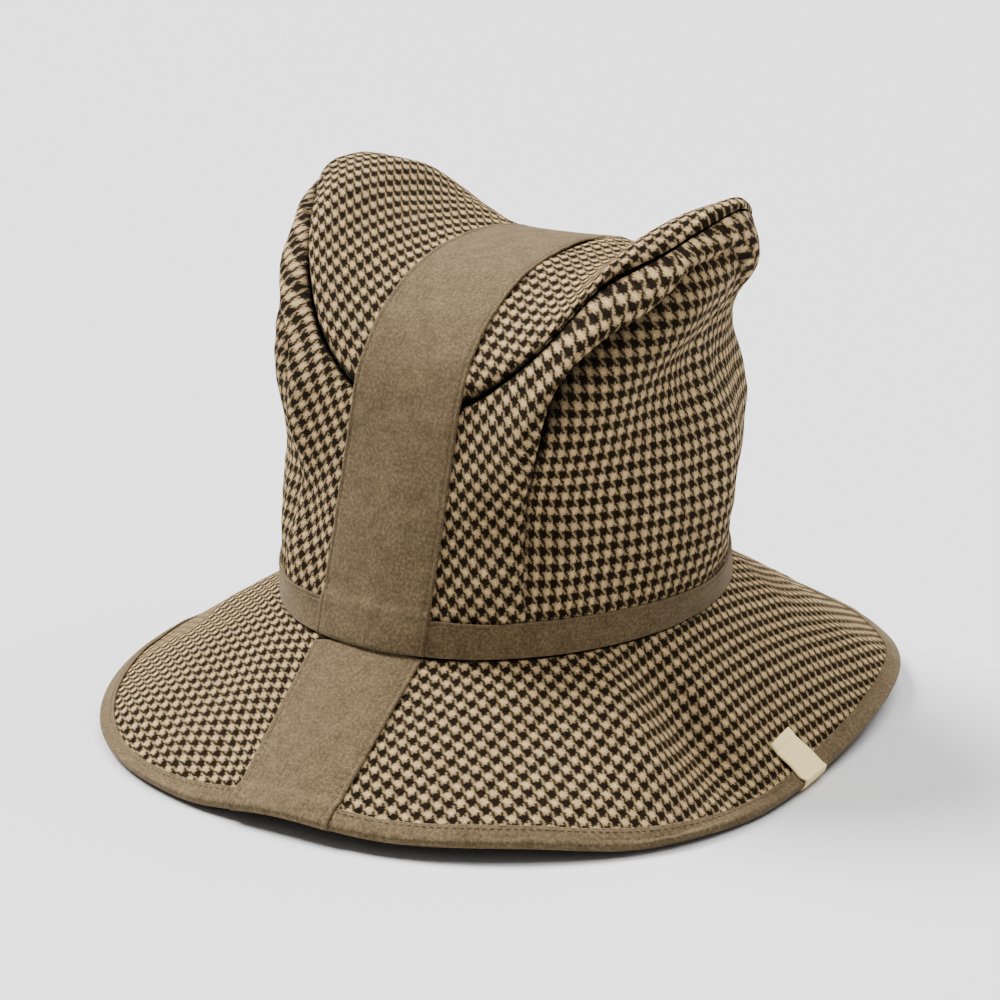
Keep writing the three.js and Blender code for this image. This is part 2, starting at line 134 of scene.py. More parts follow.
# Rise of the top panel's arch over the line between its front and back seams: turn, then right and left
CREST = curve([
    (0, 47.5, 47.5),
    (16.4, 46, 46),
    (35, 27.5, 37.5),
    (52, 18, 30),
    (72, 13.3, 15.1),
    (83, 7.4, 6.5),
    (90, 0, 0),
])
ARCH_SPREAD = 2.4
ARCH_FULLNESS = 0.7

# Brim edge: turn, then its reach out of the head opening and its rise off the table
EDGE = curve([
    (0, 60.5, 7.2),
    (18, 64, 6.3),
    (38, 67.5, 6.2),
    (56, 72, 1.5),
    (72, 68, 0),
    (88, 62, 3.6),
    (105, 64.5, 8.4),
    (122, 70.5, 9.8),
    (140, 73, 6),
    (165, 75, 3),
    (190, 77, 1),
    (215, 73, 0),
    (240, 74, 0),
    (262, 70.5, 1.5),
    (285, 73.5, 3.6),
    (305, 75, 2.2),
    (325, 73.5, 0),
    (342, 67, 1.8),
], 360)

# Turn of a brim column at the edge, for its turn at the head opening: beside the tape the cloth leans to it
EDGE_TURN = curve([(0, 0), (TAPE_TURN, TAPE_EDGE_TURN), (32, 27), (48, 47), (65, 65), (90, 90)])

DART_TURN, DART_DEPTH, DART_HALF_WIDTH, DART_TOP = 41, 3.0, 5.0, 0.86
RIDGE_TURN, RIDGE, VALLEY_TURN, VALLEY, FOLD_HALF_WIDTH = 57.5, 7.4, 69.5, 8.6, 5.4

# The dart's sharp crease: height up the side panel, then its turn and its depth
DART_MIDDLE = 40.0
DART_LINE = curve([
    (0, 40, 0),
    (0.14, 39.6, 0.5),
    (0.26, 38.6, 1.3),
    (0.39, 38.6, 2.0),
    (0.52, 38.2, 3.0),
    (0.63, 38.6, 4.2),
    (0.71, 39.2, 5.8),
    (0.784, 40.2, 7.2),
    (0.839, 41.8, 7.2),
    (0.872, 44.0, 4.8),
    (0.91, 45.5, 0.6),
    (1, 46.5, 0),
])
DART_ROLL = 6.5
DART_BULGE = 1.8
DART_OVERHANG = 0.9

# The crease that runs on from the dart's top, under the roll of cloth along the seam and round the ear: turn,
# then its height up the side panel and its depth
HOLLOW_ROW = 0.9
HOLLOW_LINE = curve([
    (34, 0.870, 0),
    (40, 0.866, 2.4),
    (43.8, 0.864, 6.0),
    (47.6, 0.870, 8.0),
    (51, 0.876, 8.0),
    (55.6, 0.880, 7.2),
    (60, 0.886, 5.8),
    (63.6, 0.900, 4.0),
    (67.4, 0.915, 2.2),
    (72.2, 0.936, 0.9),
    (77.4, 0.941, 1.0),
    (83.6, 0.929, 2.0),
    (88.2, 0.916, 3.4),
    (90.8, 0.876, 3.2),
    (95.8, 0.814, 1.4),
    (101, 0.76, 0),
])
HOLLOW_ROLL = 6.5
HOLLOW_SPREAD = 13.0
ROLL_BULGE = 3.2

# The sewn seams sink between two round rolls of cloth, steeply on the left half and flatly on the right
SEAM_LIFT, SEAM_LIFT_TURN, SEAM_LIFT_HALF_WIDTH = 3.2, 54, 11
EAR_SEAM_FADE = 0.8
SEAM_DEPTH = 3.2
SEAM_ROLL = 7.0
SEAM_TILT_LEFT = 62
SEAM_TILT_RIGHT = 22

# Painted shade at the bottoms of the creases: how dark it is, 0 to 1, and how wide in millimetres
SEAM_SHADE, EAR_SHADE_FADE, SEAM_SHADE_WIDTH = 0.9, 0.8, 1.5
DART_SHADE, DART_SHADE_TAPE_SIDE, DART_SHADE_FAR_SIDE, DART_SHADE_WIDENS = 0.95, 1.1, 1.2, 4.2
HOLLOW_SHADE, HOLLOW_SHADE_ABOVE, HOLLOW_SHADE_BELOW = 0.7, 1.6, 7.0
ROLL_SHADE, ROLL_SHADE_BELOW = 0.34, 26


def level(value):
    """The value as the third coordinate of points, the others 0."""
    return np.stack([np.zeros_like(value), np.zeros_like(value), value], -1)


def bell(value):
    """A smooth hump: 1 at 0, falling as exp(-value squared)."""
    return np.exp(-value * value)


def ease(value, start, end):
    """Smooth step: 0 before start, 1 after end, 3s^2 - 2s^3 between."""
    s = np.clip((value - start) / (end - start), 0, 1)
    return s * s * (3 - 2 * s)


def cusp(distance, width):
    """Quarter-round roll into a seam: 1 at the seam, 0 from the width on, 1 - sqrt(1 - (1 - d/width)^2)."""
    s = 1 - np.clip(distance / width, 0, 1)
    return 1 - np.sqrt(np.clip(1 - s * s, 0, 1))


def oval(turn, reach, height):
    """Point on an oval round the head, the given reach outside the head opening, at the given height."""
    a = np.radians(turn)
    x = (HEAD_HALF_WIDTH + reach) * np.sin(a)
    y = -(HEAD_HALF_DEPTH + reach) * np.cos(a)
    return np.stack([x, y, np.broadcast_to(height, x.shape)], -1)


def outward(turn):
    """Level unit vector straight out of the head opening: the gradient of its oval."""
    a = np.radians(turn)
    v = np.stack([np.sin(a) / HEAD_HALF_WIDTH, -np.cos(a) / HEAD_HALF_DEPTH, np.zeros_like(a)], -1)
    return v / np.linalg.norm(v, axis=-1, keepdims=True)


def unit(vectors):
    """Vectors divided by their lengths."""
    return vectors / np.maximum(np.linalg.norm(vectors, axis=-1, keepdims=True), 1e-9)


def seam_point(turn, mirror=None):
    """Crown seam at a turn, on the half that the sign of mirror says. The right half's seam is raised by a
    bell of the turn, because the cloth is pushed up there."""
    sign = np.sign(turn if mirror is None else mirror)
    raised = np.where(sign > 0, SEAM_LIFT * bell((np.abs(turn) - SEAM_LIFT_TURN) / SEAM_LIFT_HALF_WIDTH), 0.0)
    return SEAM(np.abs(turn)) * np.stack([sign, np.ones_like(sign), np.ones_like(sign)], -1) + level(raised)


def wave_field(points, size, seed):
    """Soft, seeded unevenness between about -1 and 1: a sum of 14 sine waves through space whose directions
    and phases are drawn at random and whose lengths are around the given size."""
    draw = np.random.default_rng(seed)
    directions = unit(draw.normal(size=(14, 3)))
    numbers = 2 * np.pi / (size * draw.uniform(0.7, 1.6, 14))
    phases = draw.uniform(0, 2 * np.pi, 14)
    return np.sin(points @ (directions * numbers[:, None]).T + phases).sum(-1) / 5


def right_ear(turn):
    """1 round the right ear, where the seam runs over the top of the roll and hardly sinks, 0 elsewhere."""
    return ease(turn, 57, 66) * (1 - ease(turn, 100, 114))


def seam_sink(turn, distance):
    """Displacement that sinks the cloth to its seam: the roll's cusp, in a direction between the two panels'
    insides, given as an angle under the level that goes smoothly from the left half's to the right half's."""
    right = ease(np.sin(np.radians(turn)), -0.5, 0.5)
    tilt = np.radians(SEAM_TILT_LEFT + (SEAM_TILT_RIGHT - SEAM_TILT_LEFT) * right)
    inside = -outward(turn) * np.cos(tilt)[..., None] - level(np.sin(tilt))
    depth = SEAM_DEPTH * cusp(distance, SEAM_ROLL) * (1 - EAR_SEAM_FADE * right_ear(turn))
    return inside * depth[..., None]


def side_base(turn, height):
    """Side panel: the straight line from the head opening to the seam at each turn, moved outward by the
    swell of SIDE at six heights and pulled in at the darts by a bell across and a half sine up."""
    size = np.abs(turn)
    swell = (SIDE(size) * HEIGHT_WEIGHTS(height)[..., 1:5]).sum(-1)
    from_dart = np.minimum(np.abs(size - DART_TURN), np.abs(180 - size - DART_TURN))
    along = np.sin(np.pi * np.minimum(height / DART_TOP, 1))
    pinch = DART_DEPTH * bell(from_dart / DART_HALF_WIDTH) * along
    foot = oval(turn, 0, HEAD_HEIGHT)
    wall = foot + (seam_point(turn) - foot) * height[..., None]
    return wall + outward(turn) * (swell - pinch)[..., None]


def side_rise(turn):
    """Length of the side panel from the head opening to the seam at a turn."""
    return np.linalg.norm(seam_point(turn) - oval(turn, 0, HEAD_HEIGHT), axis=-1)


# Millimetres round the head to one degree: at the head opening, and at the height of the creases
ROUND_SCALE = np.pi / 180 * (HEAD_HALF_WIDTH + HEAD_HALF_DEPTH) / 2
CREASE_SCALE = 1.4

# Soft hollows of the side panel: turn and height of one end, then of the other, half width across in
# millimetres, depth inwards in millimetres
SIDE_FOLDS = [
    (96, 0.60, 84, 0.40, 9.0, 1.6),
    (50, 0.60, 70, 0.68, 10.0, 0.9),
    (22, 0.30, 36, 0.55, 8.0, 1.0),
    (104, 0.80, 132, 0.70, 8.0, 2.4),
    (128, 0.45, 150, 0.30, 9.0, 1.4),
]


def side_folds(turn, height):
    """Depth of all the soft hollows: for each, a bell of the distance from its middle line, which is
    measured in millimetres on the unrolled panel."""
    size = np.abs(turn)
    place = np.stack([size * ROUND_SCALE, height * side_rise(turn)], -1)
    total = np.zeros_like(size)
    for turn_a, height_a, turn_b, height_b, half_width, depth in SIDE_FOLDS:
        ends = [np.array([t * ROUND_SCALE, h * side_rise(np.float64(t))]) for t, h in
                ((turn_a, height_a), (turn_b, height_b))]
        line = ends[1] - ends[0]
        s = np.clip(((place - ends[0]) @ line) / (line @ line), 0, 1)
        distance = np.linalg.norm(place - ends[0] - s[..., None] * line, axis=-1)
        total = total + depth * bell(distance / half_width)
    return total


def dart_crease(size, height):
    """Depth of the dart's crease at a turn and height: a quarter-round roll on the side of the tape, with a
    small bulge behind it, and half roll, half wide bell on the other side."""
    line = DART_LINE(height)
    beside = (size - line[..., 0]) * CREASE_SCALE
    rolled = cusp(-beside, DART_ROLL)
    flatter = 0.65 * cusp(beside, 0.7 * DART_ROLL) + 0.35 * bell(beside / 9)
    bulge = DART_BULGE * bell((beside + 1.2 * DART_ROLL) / 5) * np.clip(line[..., 1] / 4, 0, 1)
    return line[..., 1] * np.where(beside < 0, rolled, flatter) - bulge


def dart_overhang(turn, height):
    """Sideways push of the front dart's roll over its crease: a half sine across the roll, in step with the
    crease's depth."""
    size = np.abs(turn)
    line, depth = np.moveaxis(DART_LINE(height), -1, 0)
    beside = (size - line) * CREASE_SCALE
    across_roll = np.sin(np.pi * np.clip(1 + beside / DART_ROLL, 0, 1)) * (beside < 0)
    push = DART_OVERHANG * across_roll * np.clip(depth / 7, 0, 1) * np.sign(turn)
    a = np.radians(turn)
    return np.stack([np.cos(a), np.sin(a), np.zeros_like(a)], -1) * push[..., None]


def hollow_height(size):
    """Height and depth of the crease under the seam's roll, held at its ends."""
    return HOLLOW_LINE(np.clip(size, 34, 101))


def hollow_crease(size, height, rise):
    """Depth of the crease under the seam's roll: a quarter-round roll above its line, a wide bell below it,
    by the distance across the line. The roll above swells as half a sine between the line and the seam."""
    line, depth = np.moveaxis(hollow_height(size), -1, 0)
    slope = (hollow_height(size + 0.5)[..., 0] - hollow_height(size - 0.5)[..., 0]) * rise / CREASE_SCALE
    below = (line - height) * rise / np.sqrt(1 + slope * slope)
    across = np.where(below < 0, cusp(-below, HOLLOW_ROLL), bell(below / HOLLOW_SPREAD))
    up_the_roll = np.clip((height - line) / (1 - line), 0, 1)
    swell = ROLL_BULGE * np.sin(np.pi * up_the_roll) * ease(size, 40, 50) * (1 - ease(size, 93, 104))
    return depth * across - swell


def painted_seam_shade(turn):
    """Painted shade along the crown seam: even, and next to nothing round the right ear."""
    return SEAM_SHADE - EAR_SHADE_FADE * right_ear(turn)


def painted_crease_shade(turn, height, rise):
    """Painted shade at the bottom of each crease, 0 to 1: a narrow bell beside the dart's line, wider on the
    side away from the tape where it is deepest, a wide one and a faint wider one under the seam's roll, which
    stands for the roll's shadow, and a narrow one at the crown seam."""
    size = np.abs(turn)
    at_seam = bell((1 - height) * rise / SEAM_SHADE_WIDTH)
    open_share = 1 - painted_seam_shade(turn) * at_seam
    line, depth = np.moveaxis(DART_LINE(height), -1, 0)
    far_side = DART_SHADE_FAR_SIDE + DART_SHADE_WIDENS * np.clip((depth - 4.2) / 2.7, 0, 1)
    for near in (size, 180 - size):
        beside = (near - line) * CREASE_SCALE
        width = np.where(beside < 0, DART_SHADE_TAPE_SIDE, far_side)
        dart = bell(beside / width) * np.clip(depth / 3.4, 0, 1)
        open_share = open_share * (1 - DART_SHADE * dart)
    line, depth = np.moveaxis(hollow_height(size), -1, 0)
    below = (line - height) * rise
    width = np.where(below < 0, HOLLOW_SHADE_ABOVE, HOLLOW_SHADE_BELOW)
    hollow = bell(below / width) * np.clip(depth / 8, 0, 1)
    under_roll = ease(size, 38, 46) * (1 - ease(size, 68, 86))
    under_roll = under_roll * bell(np.maximum(below, 0) / ROLL_SHADE_BELOW) * (below > 0)
    return 1 - open_share * (1 - HOLLOW_SHADE * hollow) * (1 - ROLL_SHADE * under_roll)


def side_cloth(turn, height):
    """The side panel as its cloth lies: the base with its soft hollows, the creases of the dart and under
    the seam's roll, the roll into the crown seam and small unevenness, and tucked in a little under the
    tape and the band."""
    point = side_base(turn, height)
    size = np.abs(turn)
    rise = side_rise(turn)
    crease = dart_crease(size, height) + dart_crease(180 - size, height) + hollow_crease(size, height, rise)
    under_tape = 1 - ease(np.minimum(size, 180 - size), TAPE_TURN - 2.5, TAPE_TURN)
    under_band = 1 - ease(height * rise, BAND_HEIGHT - 3, BAND_HEIGHT)
    free = 1 - np.maximum(under_tape, under_band)
    tuck = TUCK_UNDER_TAPE * under_tape + TUCK_UNDER_BAND * under_band
    uneven = 0.55 * wave_field(point, 26, 3) + 0.25 * wave_field(point, 11, 4)
    shift = uneven * free - tuck - side_folds(turn, height) * (0.3 + 0.7 * free) - crease
    point = point + outward(turn) * shift[..., None] + dart_overhang(turn, height)
    return point + seam_sink(turn, (1 - height) * rise) * (1 - 0.5 * under_tape)[..., None]


def top_base(turn, share):
    """Top panel: the straight line from the front seam, at share 0, to the back seam, at share 1, raised by
    the crest times the arch (1 - |2 share - 1|^spread)^fullness."""
    size = np.abs(turn)
    front = seam_point(size, turn)
    back = seam_point(180 - size, turn)
    crest = CREST(size)
    rise = np.where(turn < 0, crest[..., 1], crest[..., 0])
    arch = (1 - np.abs(2 * share - 1) ** ARCH_SPREAD) ** ARCH_FULLNESS
    return front + (back - front) * share[..., None] + level(rise * arch)


def top_cloth(turn, share):
    """The top panel as its cloth lies: the base sunk to the seam at its front and back ends, with small
    unevenness, and tucked in a little under the tape."""
    point = top_base(turn, share)
    from_front = arc_along(point, 1)
    from_back = from_front[:, -1:] - from_front
    size = np.abs(turn)
    sign = np.where(turn < 0, -1.0, 1.0)
    under_tape = 1 - ease(size, TAPE_TURN - 2.5, TAPE_TURN)
    sink = seam_sink(sign * size, from_front) + seam_sink(sign * (180 - size), from_back)
    uneven = 0.6 * wave_field(point, 26, 3) + 0.25 * wave_field(point, 11, 4)
    ends = ease(np.minimum(from_front, from_back), 0, 8)
    lift = uneven * (1 - under_tape) * ends - TUCK_UNDER_TAPE * under_tape
    return point + sink * (1 - 0.5 * under_tape)[..., None] + level(lift)


def brim_base(turn, share, aside=0.0):
    """Brim: the straight line from its edge, at share 0, to the head opening, at share 1, with one soft
    fold, a ridge beside a valley, each a bell across and a half sine along. aside turns the edge's end of
    the line on by so many degrees, for a tape that runs askew."""
    size = np.abs(turn)
    near = np.where(size > 90, 180 - size, size)
    lean = EDGE_TURN(near)[..., 0]
    at = np.sign(turn) * np.where(size > 90, 180 - lean, lean) + aside
    reach, rise = np.moveaxis(EDGE(at), -1, 0)
    edge = oval(at, reach, rise + EDGE_LIFT)
    ridge = RIDGE * bell((turn - RIDGE_TURN) / FOLD_HALF_WIDTH)
    valley = VALLEY * bell((turn - VALLEY_TURN) / FOLD_HALF_WIDTH)
    bend = level((ridge - valley) * np.sin(np.pi * share))
    return edge + (oval(turn, 0, HEAD_HEIGHT) - edge) * share[..., None] + bend


def normals(grid, loop=False):
    """Unit normals of a grid of points: the cross product of its steps across columns and along rows."""
    if loop:
        across = np.roll(grid, -1, 0) - np.roll(grid, 1, 0)
    else:
        across = np.gradient(grid, axis=0)
    return unit(np.cross(across, np.gradient(grid, axis=1)))


def settle(points, lowest, softness=0.7):
    """Heights that would go below the lowest level run out onto it softly: level + w log(1 + e^((z -
    level)/w))."""
    over = (points[..., 2] - lowest) / softness
    points = points.copy()
    points[..., 2] = lowest + softness * np.logaddexp(0, over)
    return points


def grid_of(turns, shares):
    """Turns down the columns and shares along the rows, as two arrays of one shape."""
    return np.meshgrid(np.asarray(turns, float), np.asarray(shares, float), indexing="ij")


def make_piece(name, points, faces, uv, material, shade=None):
    mesh = bpy.data.meshes.new(name)
    mesh.vertices.add(len(points))
    mesh.vertices.foreach_set("co", ((points + HAT_CENTRE) * MM).ravel())
    mesh.loops.add(faces.size)
    mesh.loops.foreach_set("vertex_index", faces.ravel())
    mesh.polygons.add(len(faces))
    mesh.polygons.foreach_set("loop_start", np.arange(len(faces)) * faces.shape[1])
    mesh.polygons.foreach_set("loop_total", np.full(len(faces), faces.shape[1]))
    mesh.update(calc_edges=True)
    mesh.shade_smooth()
    if uv is not None:
        layer = mesh.uv_layers.new(name="weave")
        layer.data.foreach_set("uv", np.ascontiguousarray(uv).ravel())
    if shade is not None:
        # The crease attribute holds painted shade, which the cloth material multiplies into its colour
        mesh.attributes.new("crease", "FLOAT", "POINT").data.foreach_set("value", shade)
    mesh.materials.append(material)
    piece = bpy.data.objects.new(name, mesh)
    bpy.context.scene.collection.objects.link(piece)
    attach(piece, "root")
    return piece


def shell_faces(columns, rows, loop):
    """Quads of a closed wall: sections of 2 x rows points, up the outside and down the inside, swept over
    the columns, and closed at both ends unless the sweep loops."""
    ring = 2 * rows
    i = np.arange(columns if loop else columns - 1)[:, None]
    k = np.arange(ring)[None, :]
    after, up = (i + 1) % columns, (k + 1) % ring
    corners = np.broadcast_arrays(i * ring + k, after * ring + k, after * ring + up, i * ring + up)
    sweep = np.stack(corners, -1).reshape(-1, 4)
    if loop:
        return sweep
    j = np.arange(rows - 1)
    first = np.stack([j, j + 1, ring - 2 - j, ring - 1 - j], -1)
    last = first[:, ::-1] + (columns - 1) * ring
    return np.concatenate([sweep, first, last])


def wall_piece(name, outer, inner, flat, material, loop=False, other_cut=None, flat_other=None,
               shade=None):
    """Closed wall between an outer and an inner grid. flat is each column and row's place on the flat
    cloth. other_cut says, for arrays of a face's lowest column and row, where another cut of cloth begins,
    whose places flat_other gives. On a looped wall flat has one column more, for the last faces' far side."""
    columns, rows = outer.shape[:2]
    points = np.concatenate([outer, inner[:, ::-1]], axis=1).reshape(-1, 3)
    faces = shell_faces(columns, rows, loop)
    column, row = np.divmod(faces, 2 * rows)
    row = np.where(row < rows, row, 2 * rows - 1 - row)
    if loop:
        column = np.where((column == 0) & (column.max(1, keepdims=True) == columns - 1), columns, column)
    uv = flat[column, row]
    if other_cut is not None:
        other = other_cut(column.min(1), row.min(1))
        uv[other] = flat_other[column[other], row[other]]
    if shade is not None:
        shade = np.concatenate([shade, shade[:, ::-1]], axis=1).ravel()
    return make_piece(name, points, faces, uv, material, shade)


def woven(place, angle):
    """Places on the flat cloth in repeats of the check: across the warp, whose direction on the flat panel
    is the angle in degrees, and along it."""
    a = np.radians(angle)
    across = place[..., 0] * np.cos(a) + place[..., 1] * np.sin(a)
    along = place[..., 1] * np.cos(a) - place[..., 0] * np.sin(a)
    return np.stack([across / REPEAT_ACROSS, along / REPEAT_ALONG], -1)


def arc_along(grid, axis):
    """Distance walked along an axis of a grid of points, from its first row or column."""
    steps = np.linalg.norm(np.diff(grid, axis=axis), axis=-1)
    start = np.zeros_like(np.take(steps, [0], axis=axis))
    return np.concatenate([start, np.cumsum(steps, axis=axis)], axis=axis)


def crowded(count, ease_ends=0.5):
    """Shares from 0 to 1, closer together at both ends."""
    even = np.linspace(0, 1, count)
    return even * (1 - ease_ends) + ease_ends * (1 - np.cos(np.pi * even)) / 2


def columns_between(start, end, count, closer):
    """Turns from start to end, drawn together around the turns in closer: (turn, half width, strength)."""
    fine = np.linspace(start, end, 4001)
    density = np.ones_like(fine)
    for turn, half_width, strength in closer:
        density = density + strength * bell((fine - turn) / half_width)
    total = np.concatenate([[0], np.cumsum((density[1:] + density[:-1]) / 2)])
    return np.interp(np.linspace(0, total[-1], count), total, fine)


# Grain of each cut of cloth: the direction across its warp on the flat panel, in degrees. The front of the
# side panel is cut on the bias, and its grain turns to the straight along the seam's roll
FRONT_GRAIN = 56.0
FRONT_GRAIN_STARTS, FRONT_GRAIN_ENDS = 20.0, 72.0
SIDE_GRAIN = 0.0
TOP_GRAIN = 78.0
BRIM_GRAIN = 90.0
CONE_SHARE = 1.02
CONE_START = 93.0


def flat_side(size, height):
    """Place on the flat side panel: the way round the head opening and the height above it."""
    return np.stack([size * ROUND_SCALE, height * side_rise(size)], -1)


def woven_front(size, height):
    """Place in the weave of the bias cut. Its grain turns along the roll, so there the middle line of the
    roll is walked in steps turned by the grain, and a place beside the line lies at right angles to them.
    Below the roll the grain stays as it was cut, with a smooth step between."""
    steps = np.linspace(0, 180, 1441)
    middle = flat_side(steps, np.full_like(steps, 0.94))
    grain = np.radians(FRONT_GRAIN * (1 - ease(steps, FRONT_GRAIN_STARTS, FRONT_GRAIN_ENDS)))
    along_start = middle[0, 1] * np.array([np.sin(grain[0]), np.cos(grain[0])])
    mean_grain = (grain[1:] + grain[:-1]) / 2
    step = np.diff(middle, axis=0)
    across = np.cumsum(step[:, 0] * np.cos(mean_grain) + step[:, 1] * np.sin(mean_grain))
    along = np.cumsum(step[:, 1] * np.cos(mean_grain) - step[:, 0] * np.sin(mean_grain))
    across, along = np.concatenate([[0], across]), np.concatenate([[0], along])
    above = height * side_rise(size) - np.interp(size, steps, middle[:, 1])
    at = np.interp(size, steps, grain)
    turned = np.stack([np.interp(size, steps, across) + above * np.sin(at),
                       np.interp(size, steps, along) + above * np.cos(at)], -1)
    turned = (turned + along_start) / np.array([REPEAT_ACROSS, REPEAT_ALONG])
    near_roll = ease(height, 0.6, 0.85)[..., None]
    return woven(flat_side(size, height), FRONT_GRAIN) * (1 - near_roll) + turned * near_roll


def flat_brim(turn, grid):
    """Place on the flat brim: the cone unrolled, with the turn shrunk by CONE_SHARE and the distance from
    its point growing from CONE_START at the head opening."""
    length = arc_along(grid, 1)
    away = CONE_START + length[:, -1:] - length
    a = np.radians(turn * CONE_SHARE)
    return np.stack([away * np.sin(a), -away * np.cos(a)], -1)


# Materials


def new_material(name):
    """A material with an empty principled shader, and a function that adds nodes to it."""
    material = bpy.data.materials.new(name)
    material.use_nodes = True
    tree = material.node_tree
    tree.nodes.clear()
    shader = tree.nodes.new("ShaderNodeBsdfPrincipled")
    output = tree.nodes.new("ShaderNodeOutputMaterial")
    tree.links.new(shader.outputs[0], output.inputs[0])

    def add(kind, inputs=(), **settings):
        node = tree.nodes.new(kind)
        for key, value in settings.items():
            setattr(node, key, value)
        for index, value in (inputs.items() if isinstance(inputs, dict) else enumerate(inputs)):
            if isinstance(value, bpy.types.NodeSocket):
                tree.links.new(value, node.inputs[index])
            elif value is not None:
                node.inputs[index].default_value = value
        return node

    def link(source, socket):
        tree.links.new(source, shader.inputs[socket])

    return material, shader, add, link


def math(add, operation, *values):
    """Output of one math node."""
    return add("ShaderNodeMath", values, operation=operation).outputs[0]


def mixed(add, factor, first, second):
    """Colour between two colours."""
    node = add("ShaderNodeMix", {0: factor, 6: first, 7: second}, data_type="RGBA")
    return node.outputs[2]


def scaled_colour(add, colour, factor):
    """A colour multiplied by a number."""
    node = add("ShaderNodeVectorMath", {0: colour, 3: factor}, operation="SCALE")
    return node.outputs[0]


def stepped(add, value, start, end):
    """A value stretched so that start becomes 0 and end 1, and held there beyond; start may be over end."""
    return add("ShaderNodeMapRange", {0: value, 1: start, 2: end, 3: 0.0, 4: 1.0}).outputs[0]


def flat_noise(add, place, scale, detail, roughness):
    """Value of a noise at a place on the flat cloth."""
    inputs = {0: place, 2: scale, 3: detail, 4: roughness}
    return add("ShaderNodeTexNoise", inputs, noise_dimensions="2D").outputs[0]


def bumped(material, add, height, strength, distance):
    """Normal of a relief of the given height, in metres at full strength."""
    bump = add("ShaderNodeBump")
    bump.inputs["Strength"].default_value = strength
    bump.inputs["Distance"].default_value = distance
    material.node_tree.links.new(height, bump.inputs["Height"])
    return bump.outputs[0]


def cloth_finish(shader, roughness, sheen, tint, gloss=0.2):
    """Matt fibres with a faint sheen."""
    shader.inputs["Roughness"].default_value = roughness
    shader.inputs["Sheen Weight"].default_value = sheen
    shader.inputs["Sheen Roughness"].default_value = 0.5
    shader.inputs["Sheen Tint"].default_value = tint
    shader.inputs["Specular IOR Level"].default_value = gloss


DARK_YARN = (0.006, 0.0032, 0.0018, 1)
DARK_YARN_OLIVE = (0.018, 0.011, 0.004, 1)
LIGHT_YARN = (0.86, 0.64, 0.34, 1)
LIGHT_YARN_PINK = (0.66, 0.42, 0.23, 1)
LIGHT_YARN_OLIVE = (0.47, 0.35, 0.14, 1)
THREADS_A_REPEAT = 8.0
CRISP_SHARE = 0.46
LIGHT_POWER = 2.6


def soft_stripe(add, number):
    """1 along the middle of the four dark threads and 0 along the middle of the four light ones, with a
    clipped cosine of the thread number between."""
    turn = math(add, "MULTIPLY", math(add, "SUBTRACT", number, 2.0), 2 * np.pi / THREADS_A_REPEAT)
    return stepped(add, math(add, "COSINE", turn), -0.8, 0.8)


